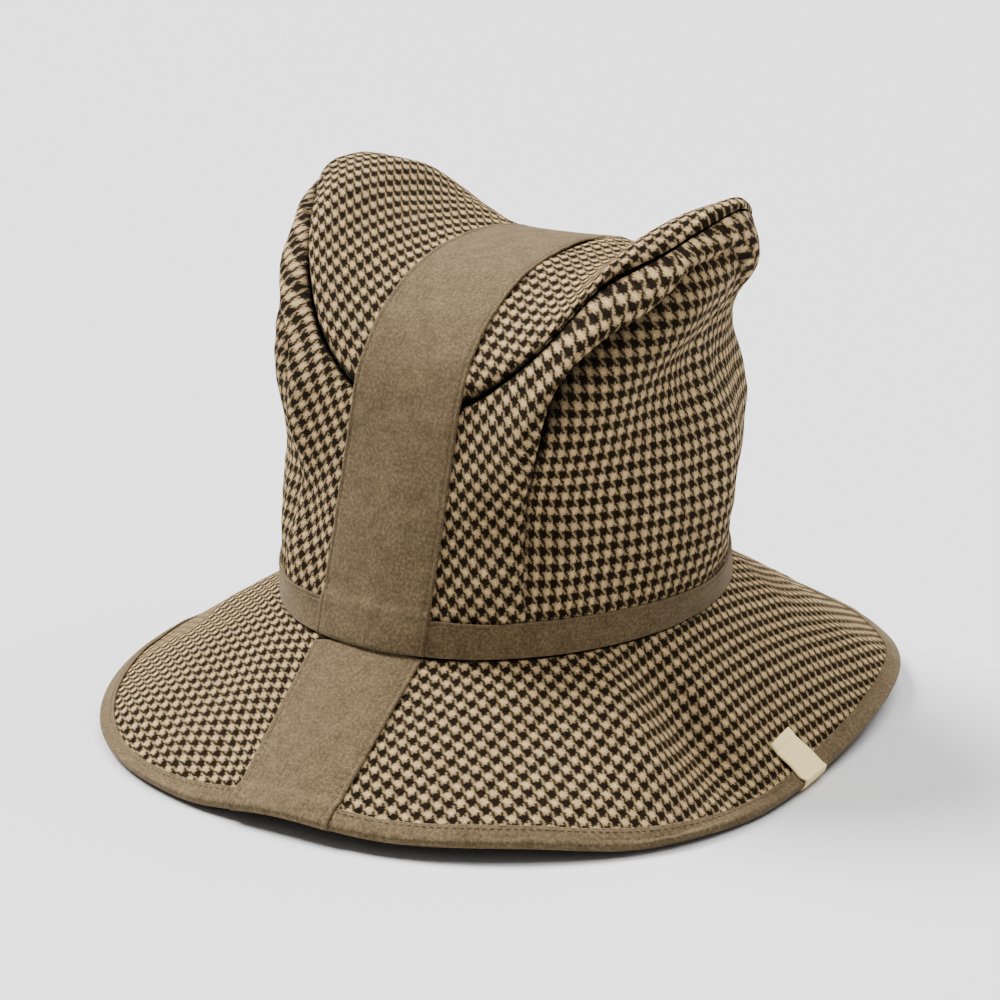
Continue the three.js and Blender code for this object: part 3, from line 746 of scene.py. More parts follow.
def check_cloth_material():
    """Woven check: 2/2 twill with four dark and four light threads each way. Thread numbers are the whole
    parts of the flat place divided by the thread; the warp is on top where (warp - weft) mod 4 < 2. The
    fuzz of the woollen yarn blurs the check, so over half of each place's darkness is that of soft
    stripes. The colour is darkened between the round yarns as painted shade in their gaps, and by the
    crease attribute, which is painted shade at the bottoms of creases."""
    material, shader, add, link = new_material("check_cloth")
    place = add("ShaderNodeUVMap", uv_map="weave").outputs[0]
    fibre = add("ShaderNodeTexNoise", {0: place, 2: 7.0, 3: 3.0, 4: 0.7}, noise_dimensions="2D")
    wobble = add("ShaderNodeVectorMath", {0: fibre.outputs[1], 1: (0.5, 0.5, 0.5)}, operation="SUBTRACT")
    wobble = add("ShaderNodeVectorMath", {0: wobble.outputs[0], 3: 0.24}, operation="SCALE")
    place = add("ShaderNodeVectorMath", {0: place, 1: wobble.outputs[0]}, operation="ADD").outputs[0]
    place = add("ShaderNodeVectorMath", {0: place, 3: THREADS_A_REPEAT}, operation="SCALE").outputs[0]
    split = add("ShaderNodeSeparateXYZ", {0: place})
    u, v = split.outputs[0], split.outputs[1]
    warp, weft = math(add, "FLOOR", u), math(add, "FLOOR", v)
    across_warp, across_weft = math(add, "FRACT", u), math(add, "FRACT", v)
    warp_dark = math(add, "LESS_THAN", math(add, "FLOORED_MODULO", warp, THREADS_A_REPEAT), 3.5)
    weft_dark = math(add, "LESS_THAN", math(add, "FLOORED_MODULO", weft, THREADS_A_REPEAT), 3.5)
    step = math(add, "FLOORED_MODULO", math(add, "SUBTRACT", warp, weft), 4.0)
    warp_over = math(add, "LESS_THAN", step, 1.5)
    dark = add("ShaderNodeMix", {0: warp_over, 2: weft_dark, 3: warp_dark}).outputs[0]

    along_warp = math(add, "FLOORED_MODULO", math(add, "ADD", math(add, "SUBTRACT", v, warp), 1.0), 4.0)
    along_weft = math(add, "FLOORED_MODULO", math(add, "SUBTRACT", math(add, "SUBTRACT", u, weft), 2.0), 4.0)
    across = add("ShaderNodeMix", {0: warp_over, 2: across_weft, 3: across_warp}).outputs[0]
    along = add("ShaderNodeMix", {0: warp_over, 2: along_weft, 3: along_warp}).outputs[0]
    roundness = math(add, "SINE", math(add, "MULTIPLY", across, np.pi))
    float_bulge = math(add, "SINE", math(add, "MULTIPLY", along, np.pi / 2))
    across_part = math(add, "MAXIMUM", roundness, 0.0)
    along_part = math(add, "MAXIMUM", float_bulge, 0.0)
    relief = math(add, "POWER", math(add, "MULTIPLY", across_part, along_part), 0.5)

    yarn_number = add("ShaderNodeMix", {0: warp_over, 2: math(add, "ADD", weft, 57.3), 3: warp}).outputs[0]
    yarn = add("ShaderNodeTexWhiteNoise", {1: yarn_number}, noise_dimensions="1D").outputs[0]
    patch = flat_noise(add, place, 0.22, 4.0, 0.6)
    fleck = flat_noise(add, place, 0.9, 3.0, 0.75)
    pink = stepped(add, fleck, 0.46, 0.58)
    olive = stepped(add, fleck, 0.50, 0.38)
    light = mixed(add, olive, mixed(add, pink, LIGHT_YARN, LIGHT_YARN_PINK), LIGHT_YARN_OLIVE)
    deep = mixed(add, pink, DARK_YARN, DARK_YARN_OLIVE)
    stripes = math(add, "MULTIPLY", math(add, "ADD", soft_stripe(add, u), soft_stripe(add, v)), 0.5)
    stripes = math(add, "MULTIPLY", stripes, 1 - CRISP_SHARE)
    darkness = math(add, "ADD", math(add, "MULTIPLY", dark, CRISP_SHARE), stripes)
    lightness = math(add, "POWER", math(add, "SUBTRACT", 1.0, darkness), LIGHT_POWER)
    colour = mixed(add, lightness, deep, light)
    # Painted shade between the yarns: the colour darkens towards the edges of each round thread
    gap_shade = math(add, "ADD", math(add, "MULTIPLY", relief, 0.45), 0.58)
    yarn_shade = math(add, "ADD", math(add, "MULTIPLY", yarn, 0.30), 0.85)
    patch_shade = math(add, "ADD", math(add, "MULTIPLY", patch, 0.7), 0.65)
    shade = math(add, "MULTIPLY", gap_shade, math(add, "MULTIPLY", yarn_shade, patch_shade))
    # Painted shade: the colour is darkened by the crease attribute at the bottoms of creases
    crease = add("ShaderNodeAttribute", attribute_name="crease").outputs[2]
    shade = math(add, "MULTIPLY", shade, math(add, "SUBTRACT", 1.0, crease))
    link(scaled_colour(add, colour, shade), "Base Color")

    fuzz = flat_noise(add, place, 1.6, 4.0, 0.75)
    height = math(add, "ADD", relief, math(add, "MULTIPLY", fuzz, 0.8))
    link(bumped(material, add, height, 0.9, 0.00034), "Normal")
    cloth_finish(shader, 0.95, 0.02, (0.80, 0.66, 0.45, 1), 0.06)
    return material


KHAKI = (0.094, 0.063, 0.029, 1)
KHAKI_LIGHT = (0.160, 0.114, 0.058, 1)
KHAKI_DARK = (0.054, 0.035, 0.015, 1)
TWILL_RIB = 1.15


def twill_tape_material():
    """Khaki twill: fine ribs on the diagonal of the flat tape, crossed by threads, with fine mottling."""
    material, shader, add, link = new_material("twill_tape")
    place = add("ShaderNodeUVMap", uv_map="weave").outputs[0]
    split = add("ShaderNodeSeparateXYZ", {0: place})
    u, v = split.outputs[0], split.outputs[1]
    drift = flat_noise(add, place, 0.8, 3.0, 0.65)
    diagonal = math(add, "ADD", math(add, "ADD", u, v), math(add, "MULTIPLY", drift, 1.6))
    rib = math(add, "SINE", math(add, "MULTIPLY", diagonal, 2 * np.pi / TWILL_RIB))
    crossing = math(add, "ADD", math(add, "SUBTRACT", u, v), math(add, "MULTIPLY", drift, 0.8))
    thread = math(add, "SINE", math(add, "MULTIPLY", crossing, 2 * np.pi / (0.8 * TWILL_RIB)))
    relief = math(add, "ADD", math(add, "MULTIPLY", rib, 0.5), math(add, "MULTIPLY", thread, 0.3))
    mottle = flat_noise(add, place, 0.14, 4.0, 0.6)
    fine = flat_noise(add, place, 0.75, 3.0, 0.8)
    cloud = stepped(add, mottle, 0.30, 0.70)
    speck = stepped(add, fine, 0.36, 0.66)
    tone = math(add, "ADD", math(add, "MULTIPLY", cloud, 0.30), math(add, "MULTIPLY", speck, 0.70))
    colour = mixed(add, stepped(add, tone, 0.45, 1.0), KHAKI, KHAKI_LIGHT)
    colour = mixed(add, stepped(add, tone, 0.50, 0.0), colour, KHAKI_DARK)
    shade = math(add, "ADD", math(add, "MULTIPLY", relief, 0.16), 1.0)
    link(scaled_colour(add, colour, shade), "Base Color")
    height = math(add, "ADD", math(add, "MULTIPLY", relief, 0.6), math(add, "MULTIPLY", fine, 1.6))
    link(bumped(material, add, height, 0.6, 0.00018), "Normal")
    cloth_finish(shader, 0.9, 0.12, (0.75, 0.66, 0.50, 1))
    return material


THREAD_DARK = (0.080, 0.054, 0.026, 1)
THREAD_LIGHT = (0.150, 0.105, 0.055, 1)


def thread_material():
    """Sewing thread: pale khaki, twisted, uneven along its length."""
    material, shader, add, link = new_material("sewing_thread")
    place = add("ShaderNodeTexCoord").outputs[3]
    noise = add("ShaderNodeTexNoise", {0: place, 2: 900.0, 3: 2.0, 4: 0.6}).outputs[0]
    link(mixed(add, noise, THREAD_DARK, THREAD_LIGHT), "Base Color")
    cloth_finish(shader, 0.75, 0.12, (0.75, 0.66, 0.50, 1))
    return material


CREAM_LIGHT = (1.0, 0.82, 0.42, 1)
CREAM_DARK = (0.93, 0.70, 0.30, 1)


def cream_tab_material():
    """Plain cream tape: fine threads both ways and a few uneven ones."""
    material, shader, add, link = new_material("cream_tab")
    place = add("ShaderNodeUVMap", uv_map="weave").outputs[0]
    split = add("ShaderNodeSeparateXYZ", {0: place})
    u, v = split.outputs[0], split.outputs[1]
    across = math(add, "SINE", math(add, "MULTIPLY", u, 2 * np.pi / 0.9))
    along = math(add, "SINE", math(add, "MULTIPLY", v, 2 * np.pi / 0.8))
    weave = math(add, "MULTIPLY", across, along)
    noise = flat_noise(add, place, 0.8, 4.0, 0.7)
    colour = mixed(add, noise, CREAM_LIGHT, CREAM_DARK)
    shade = math(add, "ADD", math(add, "MULTIPLY", weave, 0.08), 1.0)
    link(scaled_colour(add, colour, shade), "Base Color")
    link(bumped(material, add, math(add, "ADD", weave, noise), 0.6, 0.00016), "Normal")
    cloth_finish(shader, 0.8, 0.12, (1.0, 0.95, 0.85, 1))
    return material


CHECK = check_cloth_material()
TWILL = twill_tape_material()
THREADS = thread_material()
CREAM = cream_tab_material()


# Pieces


def make_side(name, node, sign):
    """One half's side panel. Its grid bends so that one column follows each dart's crease and one row the
    crease under the seam's roll, and its cloth is in two cuts that meet at those creases, the front one on
    the bias and the other on the straight."""
    back_dart = 180 - DART_MIDDLE
    closer = [(DART_MIDDLE, 3.0, 7), (back_dart, 3.0, 4), (TAPE_TURN, 1.5, 2), (90, 9, 1)]
    columns = columns_between(0.15, 179.85, 262, closer)
    columns[np.argmin(np.abs(columns - DART_MIDDLE))] = DART_MIDDLE
    rows = columns_between(0.002, 0.996, 122, [(HOLLOW_ROW, 0.022, 5), (1, 0.03, 6)])
    rows[np.argmin(np.abs(rows - HOLLOW_ROW))] = HOLLOW_ROW
    dart_column = int(np.argmin(np.abs(columns - DART_MIDDLE)))
    hollow_row = int(np.argmin(np.abs(rows - HOLLOW_ROW)))
    last_roll_column = int(np.argmin(np.abs(columns - FRONT_GRAIN_ENDS)))
    size, row = grid_of(columns, rows)
    window = ease(size, 38, 44) * (1 - ease(size, 97, 110))
    crease = HOLLOW_ROW + (hollow_height(size)[..., 0] - HOLLOW_ROW) * window
    above = crease + (row - HOLLOW_ROW) / (1 - HOLLOW_ROW) * (1 - crease)
    height = np.where(row < HOLLOW_ROW, row / HOLLOW_ROW * crease, above)
    lean = DART_LINE(height)[..., 0] - DART_MIDDLE
    size = size + lean * (bell((size - DART_MIDDLE) / 9) - bell((size - back_dart) / 9))
    front_cut = woven_front(size, height)
    side_cut = woven(flat_side(size, height), SIDE_GRAIN) * np.array([1.0, -1.0])
    if sign < 0:
        size, height, front_cut, side_cut = size[::-1], height[::-1], front_cut[::-1], side_cut[::-1]

    def in_front_cut(column, row):
        near = column if sign > 0 else len(columns) - 2 - column
        return (near < dart_column) | ((row >= hollow_row) & (near < last_roll_column))

    outer = side_cloth(sign * size, height)
    facing = normals(side_base(sign * size, height))
    inner = outer - facing * CLOTH_WALL
    # Painted shade for the bottoms of the creases, kept as the cloth's crease attribute
    shade = painted_crease_shade(sign * size, height, side_rise(size))
    piece = wall_piece(name, outer, inner, side_cut, CHECK, other_cut=in_front_cut,
                       flat_other=front_cut, shade=shade)
    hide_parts(node)
    return piece


def make_top():
    """The top panel on a grid whose columns crowd at the two corners and whose rows crowd at the seams."""
    half = 89.6 * (1 - (1 - np.linspace(0, 1, 96)) ** 1.35)
    turns = np.concatenate([-half[:0:-1], half])
    turn, share = grid_of(turns, 0.003 + 0.994 * crowded(120, 0.85))
    outer = top_cloth(turn, share)
    base = top_base(turn, share)
    inner = outer - normals(base) * CLOTH_WALL
    middle = len(base[0]) // 2
    walked = arc_along(base, 1)
    along = walked - walked[:, middle:middle + 1]
    across = arc_along(base[:, middle:middle + 1], 0)
    across = across - across[len(turns) // 2]
    flat = woven(np.stack([np.broadcast_to(across, along.shape), along], -1), TOP_GRAIN)
    from_seam = np.minimum(walked, walked[:, -1:] - walked)
    # Painted shade along the crown seams at both ends of the top panel
    shade = painted_seam_shade(turn) * bell(from_seam / SEAM_SHADE_WIDTH)
    piece = wall_piece("top_panel", outer, inner, flat, CHECK, shade=shade)
    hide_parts("crown_top")
    return piece


def brim_grid(turns, shares, aside=0.0):
    """The brim's outer face: the base with small unevenness, left even beside the tapes."""
    turn, share = grid_of(turns, shares)
    base = brim_base(turn, share, aside)
    free = ease(share, 0.0, 0.12) * (1 - ease(share, 0.93, 1.0))
    near_tape = np.minimum(np.abs(turn), 180 - np.abs(turn))
    free = free * ease(near_tape, TAPE_TURN - 2, TAPE_TURN + 4)
    uneven = (0.8 * wave_field(base, 38, 11) + 0.25 * wave_field(base, 14, 12)) * free
    return base + level(uneven)


# Where the brim's cloth starts and ends, as shares of the way from its edge to the head opening
BRIM_STARTS, BRIM_ENDS = 0.012, 0.993


def make_brim():
    """The brim all the way round, closed into a loop, with the flat cloth of an unrolled cone."""
    turns = columns_between(-180, 180, 661, [(RIDGE_TURN, 5, 1.2), (VALLEY_TURN, 6, 1.2)])[:-1]
    shares = BRIM_STARTS + (BRIM_ENDS - BRIM_STARTS) * crowded(60, 0.3)
    outer = brim_grid(turns, shares)
    inner = outer - normals(outer, loop=True) * CLOTH_WALL
    flat_turns = np.append(turns, 180.0)
    turn, _ = grid_of(flat_turns, shares)
    flat_points = np.concatenate([outer, outer[:1]])
    flat = woven(flat_brim(turn, flat_points), BRIM_GRAIN)
    outer, inner = settle(outer, TOPSIDE_LEVEL), settle(inner, UNDERSIDE_LEVEL)
    piece = wall_piece("brim_cloth", outer, inner, flat, CHECK, loop=True)
    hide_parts("brim")
    return piece


def tape_profile(across, half_width, edge=0.9):
    """Share of its thickness that a tape has at a place across it: round over the last bit at each edge,
    and pulled down along the line of stitches."""
    inside = np.clip(half_width - np.abs(across), 0, edge) / edge
    rounding = 0.25 + 0.75 * np.sqrt(1 - (1 - inside) ** 2)
    stitched = 0.32 * bell((half_width - STITCH_LINE - np.abs(across)) / 0.55)
    return rounding - stitched


def tape_across(half_width, count=60):
    """Places across a tape, closer together at its edges and at the two lines of stitches."""
    line = half_width - STITCH_LINE
    closer = [(line, 1.0, 5), (-line, 1.0, 5), (half_width, 0.8, 6), (-half_width, 0.8, 6)]
    return columns_between(-half_width, half_width, count, closer)


def smooth_along(grid, times):
    """Each row of points is averaged with its neighbours the given number of times; the ends stay."""
    grid = grid.copy()
    for _ in range(times):
        grid[:, 1:-1] = (grid[:, :-2] + 2 * grid[:, 1:-1] + grid[:, 2:]) / 4
    return grid


def make_crown_tape():
    """The tape over the crown: up the front wall, over the top panel and down the back wall on the base
    shapes, which lie just over the cloth, lifted over the band at both ends, with soft puckers."""
    across = tape_across(CROWN_TAPE_HALF_WIDTH)
    turns = across / CROWN_TAPE_HALF_WIDTH * TAPE_TURN
    heights = np.linspace(0.006, 1, 70)
    shares = crowded(110, 0.7)
    back = np.where(turns < 0, -180.0, 180.0) - turns
    front_wall = side_base(*grid_of(turns, heights))
    over = top_base(*grid_of(turns, shares))
    back_wall = side_base(*grid_of(back, heights[::-1]))
    path = np.concatenate([front_wall, over[:, 1:-1], back_wall], axis=1)
    path = smooth_along(path, 30)
    facing = normals(path)
    above = path[..., 2] - HEAD_HEIGHT
    over_band = (GAP + TAPE_WALL) * (1 - ease(above, BAND_HEIGHT + 0.5, BAND_HEIGHT + 4))
    far = arc_along(path, 1)
    place = np.stack([np.broadcast_to(across[:, None], far.shape), far], -1)
    spot = np.stack([place[..., 0], place[..., 1], np.zeros_like(far)], -1)
    long_puckers = wave_field(spot * np.array([0.6, 1.0, 1.0]), 16, 21)
    pucker = np.clip(0.30 + 0.30 * long_puckers + 0.10 * wave_field(spot, 6, 22), 0, 1.2)
    under = GAP + over_band + pucker
    profile = tape_profile(across, CROWN_TAPE_HALF_WIDTH)[:, None]
    outer = path + facing * (under + TAPE_WALL * profile)[..., None]
    inner = path + facing * under[..., None]
    piece = wall_piece("crown_tape", outer, inner, place, TWILL)
    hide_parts("crown_strip")
    runs = []
    for edge in (-1, 1):
        column = int(np.argmin(np.abs(across - edge * (CROWN_TAPE_HALF_WIDTH - STITCH_LINE))))
        runs.append((outer[column], facing[column]))
    return piece, runs


def make_band():
    """The band round the foot of the crown: a tape bent round the side panel's foot."""
    turns = np.linspace(-180, 180, 481)[:-1]
    up = np.concatenate([[0.4, 0.6, 1.0], np.linspace(1.6, BAND_HEIGHT - 2.6, 12),
                         np.linspace(BAND_HEIGHT - 2.2, BAND_HEIGHT, 12)])
    turn, above = grid_of(turns, up)
    height = above / side_rise(turn)
    base = side_base(turn, height)
    facing = normals(base, loop=True)
    pucker = np.clip(0.18 + 0.15 * wave_field(base, 18, 31), 0, 0.6)
    middle = BAND_HEIGHT / 2
    profile = tape_profile(above - middle - 0.3, middle + 0.2, edge=0.7)
    near_tape = ease(np.minimum(np.abs(turn), 180 - np.abs(turn)), TAPE_TURN, TAPE_TURN + 5)
    under = GAP + pucker * near_tape
    outer = base + facing * (under + TAPE_WALL * profile)[..., None]
    inner = base + facing * under[..., None]
    wide = np.append(turns, 180.0) * ROUND_SCALE
    flat = np.stack(np.meshgrid(wide, up, indexing="ij"), -1)
    piece = wall_piece("band", outer, inner, flat, TWILL, loop=True)
    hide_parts("crown_band")
    row = int(np.argmin(np.abs(up - (BAND_HEIGHT - STITCH_LINE))))
    seen = near_tape[:, row] > 0
    right = seen & (turns > 0)
    left = seen & (turns < 0)
    return piece, [(outer[right, row], facing[right, row]), (outer[left, row], facing[left, row])]


def beside_edge(brim, facing, along, off, lowest):
    """Points beside the brim edge: from the edge, the given distance along the cloth, negative inwards, then
    off its face, all settled to their own levels. Inwards they follow the cloth row by row."""
    length = arc_along(brim, 1)
    out = unit(brim[:, 0] - brim[:, 1])
    sections = []
    for distance, lift, low in zip(along, off, lowest):
        if distance >= 0:
            point = brim[:, 0] + out * distance
            direction = facing[:, 0]
        else:
            row = np.clip((length < -distance).sum(1) - 1, 0, brim.shape[1] - 2)
            i = np.arange(len(brim))
            span = length[i, row + 1] - length[i, row]
            s = ((-distance - length[i, row]) / span)[:, None]
            point = brim[i, row] * (1 - s) + brim[i, row + 1] * s
            direction = unit(facing[i, row] * (1 - s) + facing[i, row + 1] * s)
        moved = point + direction * lift[:, None] if np.ndim(lift) else point + direction * lift
        sections.append(settle(moved, low, 0.35))
    return np.stack(sections, 1)


def fold_section(width, over, nose_gap, wall, under, levels):
    """Outline of a strip folded over the brim edge, as distances along the cloth, lifts off its face and
    levels: the outer line over the top from the inner edge out, round the nose and back below, as two
    straight runs joined by a half round, and the inner line one wall inside it."""
    top_level, low_level = levels
    inwards = np.linspace(-width, -0.2, 12)
    angle = np.linspace(90, -90, 11)[1:-1]
    middle, radius = (over - under) / 2, (over + under) / 2

    def line(grow):
        nose = nose_gap + (radius * 0.55 + grow) * np.cos(np.radians(angle))
        bend = middle + (radius + grow) * np.sin(np.radians(angle))
        along = np.array([*inwards, *nose, *inwards[::-1]])
        off = np.array([*np.full(12, over + grow), *bend, *np.full(12, -under - grow)])
        share = np.clip((off + under + grow) / (over + under + 2 * grow), 0, 1)
        lows = low_level - grow + (top_level + 2 * grow - low_level) * share
        return along, off, lows

    return line(0.0), line(wall)


# On the flat binding: the brim edge's radius and the way round the fold, and the row that the stitches follow
EDGE_RADIUS = 165
BINDING_AROUND = 16
BINDING_STITCH_ROW = 3


def make_binding():
    """The binding folded over the brim edge, a soft U swept all the way round."""
    turns = np.linspace(-180, 180, 601)[:-1]
    shares = np.linspace(0, 0.35, 60)
    brim = brim_grid(turns, shares)
    facing = normals(brim, loop=True)
    levels = (TOPSIDE_LEVEL + GAP, TAPE_WALL)
    inner, outer = fold_section(BINDING_WIDTH, GAP, 0.5, TAPE_WALL, CLOTH_WALL + FOLD_GAP * 0.8, levels)
    inner_points = beside_edge(brim, facing, *inner)
    outer_points = beside_edge(brim, facing, *outer)
    puff = 0.10 + 0.16 * wave_field(brim[:, 0], 13, 41)
    outer_points[:, 3:9] += (facing[:, 0] * np.clip(puff, 0, 0.5)[:, None])[:, None]
    outer_points = outer_points[:, ::-1]
    inner_points = inner_points[:, ::-1]
    round_scale = 2 * np.pi / 360 * EDGE_RADIUS
    far = np.append(turns, 180.0) * round_scale
    around = np.linspace(0, BINDING_AROUND, outer_points.shape[1])
    flat = np.stack(np.meshgrid(far, around, indexing="ij"), -1)
    piece = wall_piece("edge_binding", outer_points, inner_points, flat, TWILL, loop=True)
    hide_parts("brim_binding")
    row = outer_points.shape[1] - 1 - BINDING_STITCH_ROW
    return piece, [(outer_points[:, row], facing[:, 2])]


FRONT_TAPE_ASIDE = 1.4
TAPE_SHORT_OF_SEAM = 0.7

# How the brim's tapes and the tab go round the binding: half its thickness, how far its nose stands out and
# how flat it is, and where the arc ends in degrees below the level
WRAP_RADIUS = (2 * GAP + TAPE_WALL + CLOTH_WALL + FOLD_GAP * 0.8) / 2
WRAP_TOP = 2 * GAP + TAPE_WALL
WRAP_NOSE, WRAP_FLATNESS, WRAP_NOSE_GROWTH = 0.7, 0.62, 0.8
WRAP_ARC = np.radians(np.linspace(90, -62, 14)[1:])


def wrap_path(inwards, over, radius):
    """A strip's way over the brim edge, as distances along the cloth and lifts off it: inwards at the given
    distances and lifts, then round the binding in a flattened arc."""
    along = np.concatenate([-inwards, WRAP_NOSE + radius * WRAP_FLATNESS * np.cos(WRAP_ARC)])
    off = np.concatenate([over, WRAP_TOP - radius + radius * np.sin(WRAP_ARC)])
    return along, off


def wrap_face(brim, facing, along, off, lifts, wall):
    """One face of such a strip, a wall off its underside. Its lowest levels run from over the binding down to
    the gap over the table, by the lift off the cloth."""
    nose = np.where(along < 0, along, along + wall * WRAP_NOSE_GROWTH)
    top = TOPSIDE_LEVEL + GAP + TAPE_WALL + GAP + wall
    edge_off = off[-1 - len(WRAP_ARC)]
    lows = np.where(along < 0, top, np.interp(off, [off[-1], edge_off], [GAP, top]))
    return beside_edge(brim, facing, nose, lifts, lows)


def make_brim_tape(name, node, at_back):
    """A tape from near the head opening down the brim and round the binding, on the brim's own columns, so
    that it leans with the cloth. At the back the columns run in falling turns, so the normals point down and
    that tape lies under the brim."""
    across = tape_across(BRIM_TAPE_HALF_WIDTH, 52) / BRIM_TAPE_HALF_WIDTH
    turns = across * TAPE_TURN
    if at_back:
        turns = np.where(turns < 0, -180.0, 180.0) - turns
    shares = np.linspace(0.0, 1.0, 120)
    brim = brim_grid(turns, shares, 0.0 if at_back else FRONT_TAPE_ASIDE)
    facing = normals(brim)
    length = arc_along(brim, 1).mean(0)
    inwards = np.linspace(length[-1] - TAPE_SHORT_OF_SEAM, 0, 70)
    over = GAP + (TAPE_WALL + GAP) * (1 - ease(inwards, BINDING_WIDTH + 0.3, BINDING_WIDTH + 3.5))
    along, off = wrap_path(inwards, over, WRAP_RADIUS + TAPE_WALL / 2)
    wide = across * BRIM_TAPE_HALF_WIDTH
    spot = np.stack(np.meshgrid(wide, along, [0.0], indexing="ij"), -1)[:, :, 0]
    pucker = np.clip(0.15 + 0.2 * wave_field(spot, 14, 51 + at_back), 0, 0.7)
    pucker = pucker * np.where(along < 0, 1.0, 0.3)
    profile = tape_profile(wide, BRIM_TAPE_HALF_WIDTH)
    faces = []
    for wall in (0.0, TAPE_WALL):
        lifts = (off + pucker).T + wall * profile
        faces.append(wrap_face(brim, facing, along, off, lifts, wall)[:, ::-1])
    inner, outer = faces
    flat = spot[:, ::-1, :2]
    piece = wall_piece(name, outer, inner, flat, TWILL)
    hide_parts(node)
    runs = []
    for edge in (-1, 1):
        column = int(np.argmin(np.abs(wide - edge * (BRIM_TAPE_HALF_WIDTH - STITCH_LINE))))
        keep = slice(len(WRAP_ARC) - 3, None)
        runs.append((outer[column, keep], normals(outer)[column, keep]))
    return piece, runs


TAB_TURN, TAB_HALF_TURN, TAB_HALF_WIDTH = 83.6, 3.05, 8.75
TAB_LENGTH, TAB_WALL, TAB_HEM = 19.5, 0.7, 0.5


def make_tab():
    """The plain cream tab: a short tape folded over the binding, with its inner end thicker by a hem."""
    across = np.linspace(-1, 1, 26)
    turns = TAB_TURN + across * TAB_HALF_TURN
    shares = np.linspace(0.0, 0.6, 90)
    brim = brim_grid(turns, shares)
    facing = normals(brim)
    inwards = np.linspace(0.1, TAB_LENGTH, 50)[::-1]
    over = GAP + (TAPE_WALL + GAP) * (1 - ease(inwards, BINDING_WIDTH - 0.5, BINDING_WIDTH + 11))
    along, off = wrap_path(inwards, over, WRAP_RADIUS + 0.3)
    hem = np.concatenate([TAB_HEM * ease(inwards, 15.3, 15.9), np.zeros(len(WRAP_ARC))])
    rounding = 0.3 + 0.7 * np.sqrt(1 - np.clip((np.abs(across) - 0.9) / 0.1, 0, 1) ** 2)
    faces = []
    for wall in (0.0, TAB_WALL):
        thick = wall + (hem if wall else 0 * hem)
        lifts = off[:, None] + thick[:, None] * rounding
        faces.append(wrap_face(brim, facing, along, off, lifts, wall)[:, ::-1])
    inner, outer = faces
    flat = np.stack(np.meshgrid(across * TAB_HALF_WIDTH, along[::-1], indexing="ij"), -1)
    piece = wall_piece("tab", outer, inner, flat, CREAM)
    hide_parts("brim_tab")
    return piece


def stitch_points(path, facing, pitch, length, radius):
    """Stitches along a path: at every pitch a short thread whose middle stands over the cloth and whose
    ends go in. Sections are hexagons whose size follows sqrt(1 - t^4) along the stitch."""
    far = arc_along(path[None], 1)[0]
    count = int(far[-1] / pitch)
    centre = (np.arange(count) + 0.5) * far[-1] / count

    def at(where, values):
        return np.stack([np.interp(where, far, values[:, k]) for k in range(3)], -1)

    t = np.linspace(-1, 1, 5)
    where = centre[:, None] + t[None, :] * length / 2
    where = np.clip(where, 0, far[-1])
    middle = at(where, path)
    up = unit(at(where, facing))
    ahead = unit(at(np.clip(centre + 0.4, 0, far[-1]), path) - at(np.clip(centre - 0.4, 0, far[-1]), path))
    beside = unit(np.cross(up, ahead[:, None]))
    angle = np.linspace(0, 2 * np.pi, 7)[:-1]
    size = radius * np.sqrt(np.clip(1.08 - t ** 4, 0, 1))
    lift = radius * (0.75 - 1.35 * t ** 4)
    cosine, sine = (part[None, None, :, None] for part in (np.cos(angle), np.sin(angle)))
    section = cosine * beside[:, :, None] + sine * up[:, :, None]
    ring = (up * lift[None, :, None])[:, :, None] + size[None, :, None, None] * section
    return (middle[:, :, None] + ring).reshape(count, -1, 3)


def make_stitches(name, runs, pitch=2.8, length=2.2, radius=0.2):
    """All the stitches of several runs as one mesh of hexagonal threads with closed ends."""
    blocks = np.concatenate([stitch_points(path, facing, pitch, length, radius) for path, facing in runs])
    rings, sides = 5, 6
    i = np.arange(rings - 1)[:, None]
    k = np.arange(sides)[None, :]
    after = (k + 1) % sides
    here, there = i * sides, (i + 1) * sides
    quads = np.stack(np.broadcast_arrays(here + k, here + after, there + after, there + k), -1)
    quads = quads.reshape(-1, 4)
    caps = []
    for start, order in ((0, -1), ((rings - 1) * sides, 1)):
        ring = start + np.arange(sides)[::order]
        caps += [ring[[0, 1, 2, 3]], ring[[0, 3, 4, 5]]]
    template = np.concatenate([quads, np.array(caps)])
    faces = (template[None] + (np.arange(len(blocks)) * rings * sides)[:, None, None]).reshape(-1, 4)
    return make_piece(name, blocks.reshape(-1, 3), faces, None, THREADS)


side_right = make_side("side_panel_right", "crown_side_right", 1)
side_left = make_side("side_panel_left", "crown_side_left", -1)
top_panel = make_top()
brim_cloth = make_brim()
crown_tape, tape_runs = make_crown_tape()
band, band_runs = make_band()
binding, binding_runs = make_binding()
front_tape, front_runs = make_brim_tape("brim_tape_front", "brim_strip_front", False)
back_tape, back_runs = make_brim_tape("brim_tape_back", "brim_strip_back", True)
tab = make_tab()
tape_stitches = make_stitches("tape_stitches", tape_runs + front_runs + back_runs)
band_stitches = make_stitches("band_stitches", band_runs)
binding_stitches = make_stitches("binding_stitches", binding_runs)

# Floor, light and camera


# The floor, in metres
FLOOR_GREY = 0.64
FLOOR_RADIUS = 9.0
FLOOR_LEVEL = -0.0005
FLOOR_SIDES = 96

# Studio lights: direction towards the light, spread in degrees and strength
LIGHTS = {
    "key": ((-0.62, 0.0, 0.78), 26, 9.4),
    "top": ((0.16, 0.34, 0.93), 50, 5.0),
    "fill": ((0.62, -0.62, 0.48), 70, 0.15),
}
WORLD_STRENGTH = 0.15


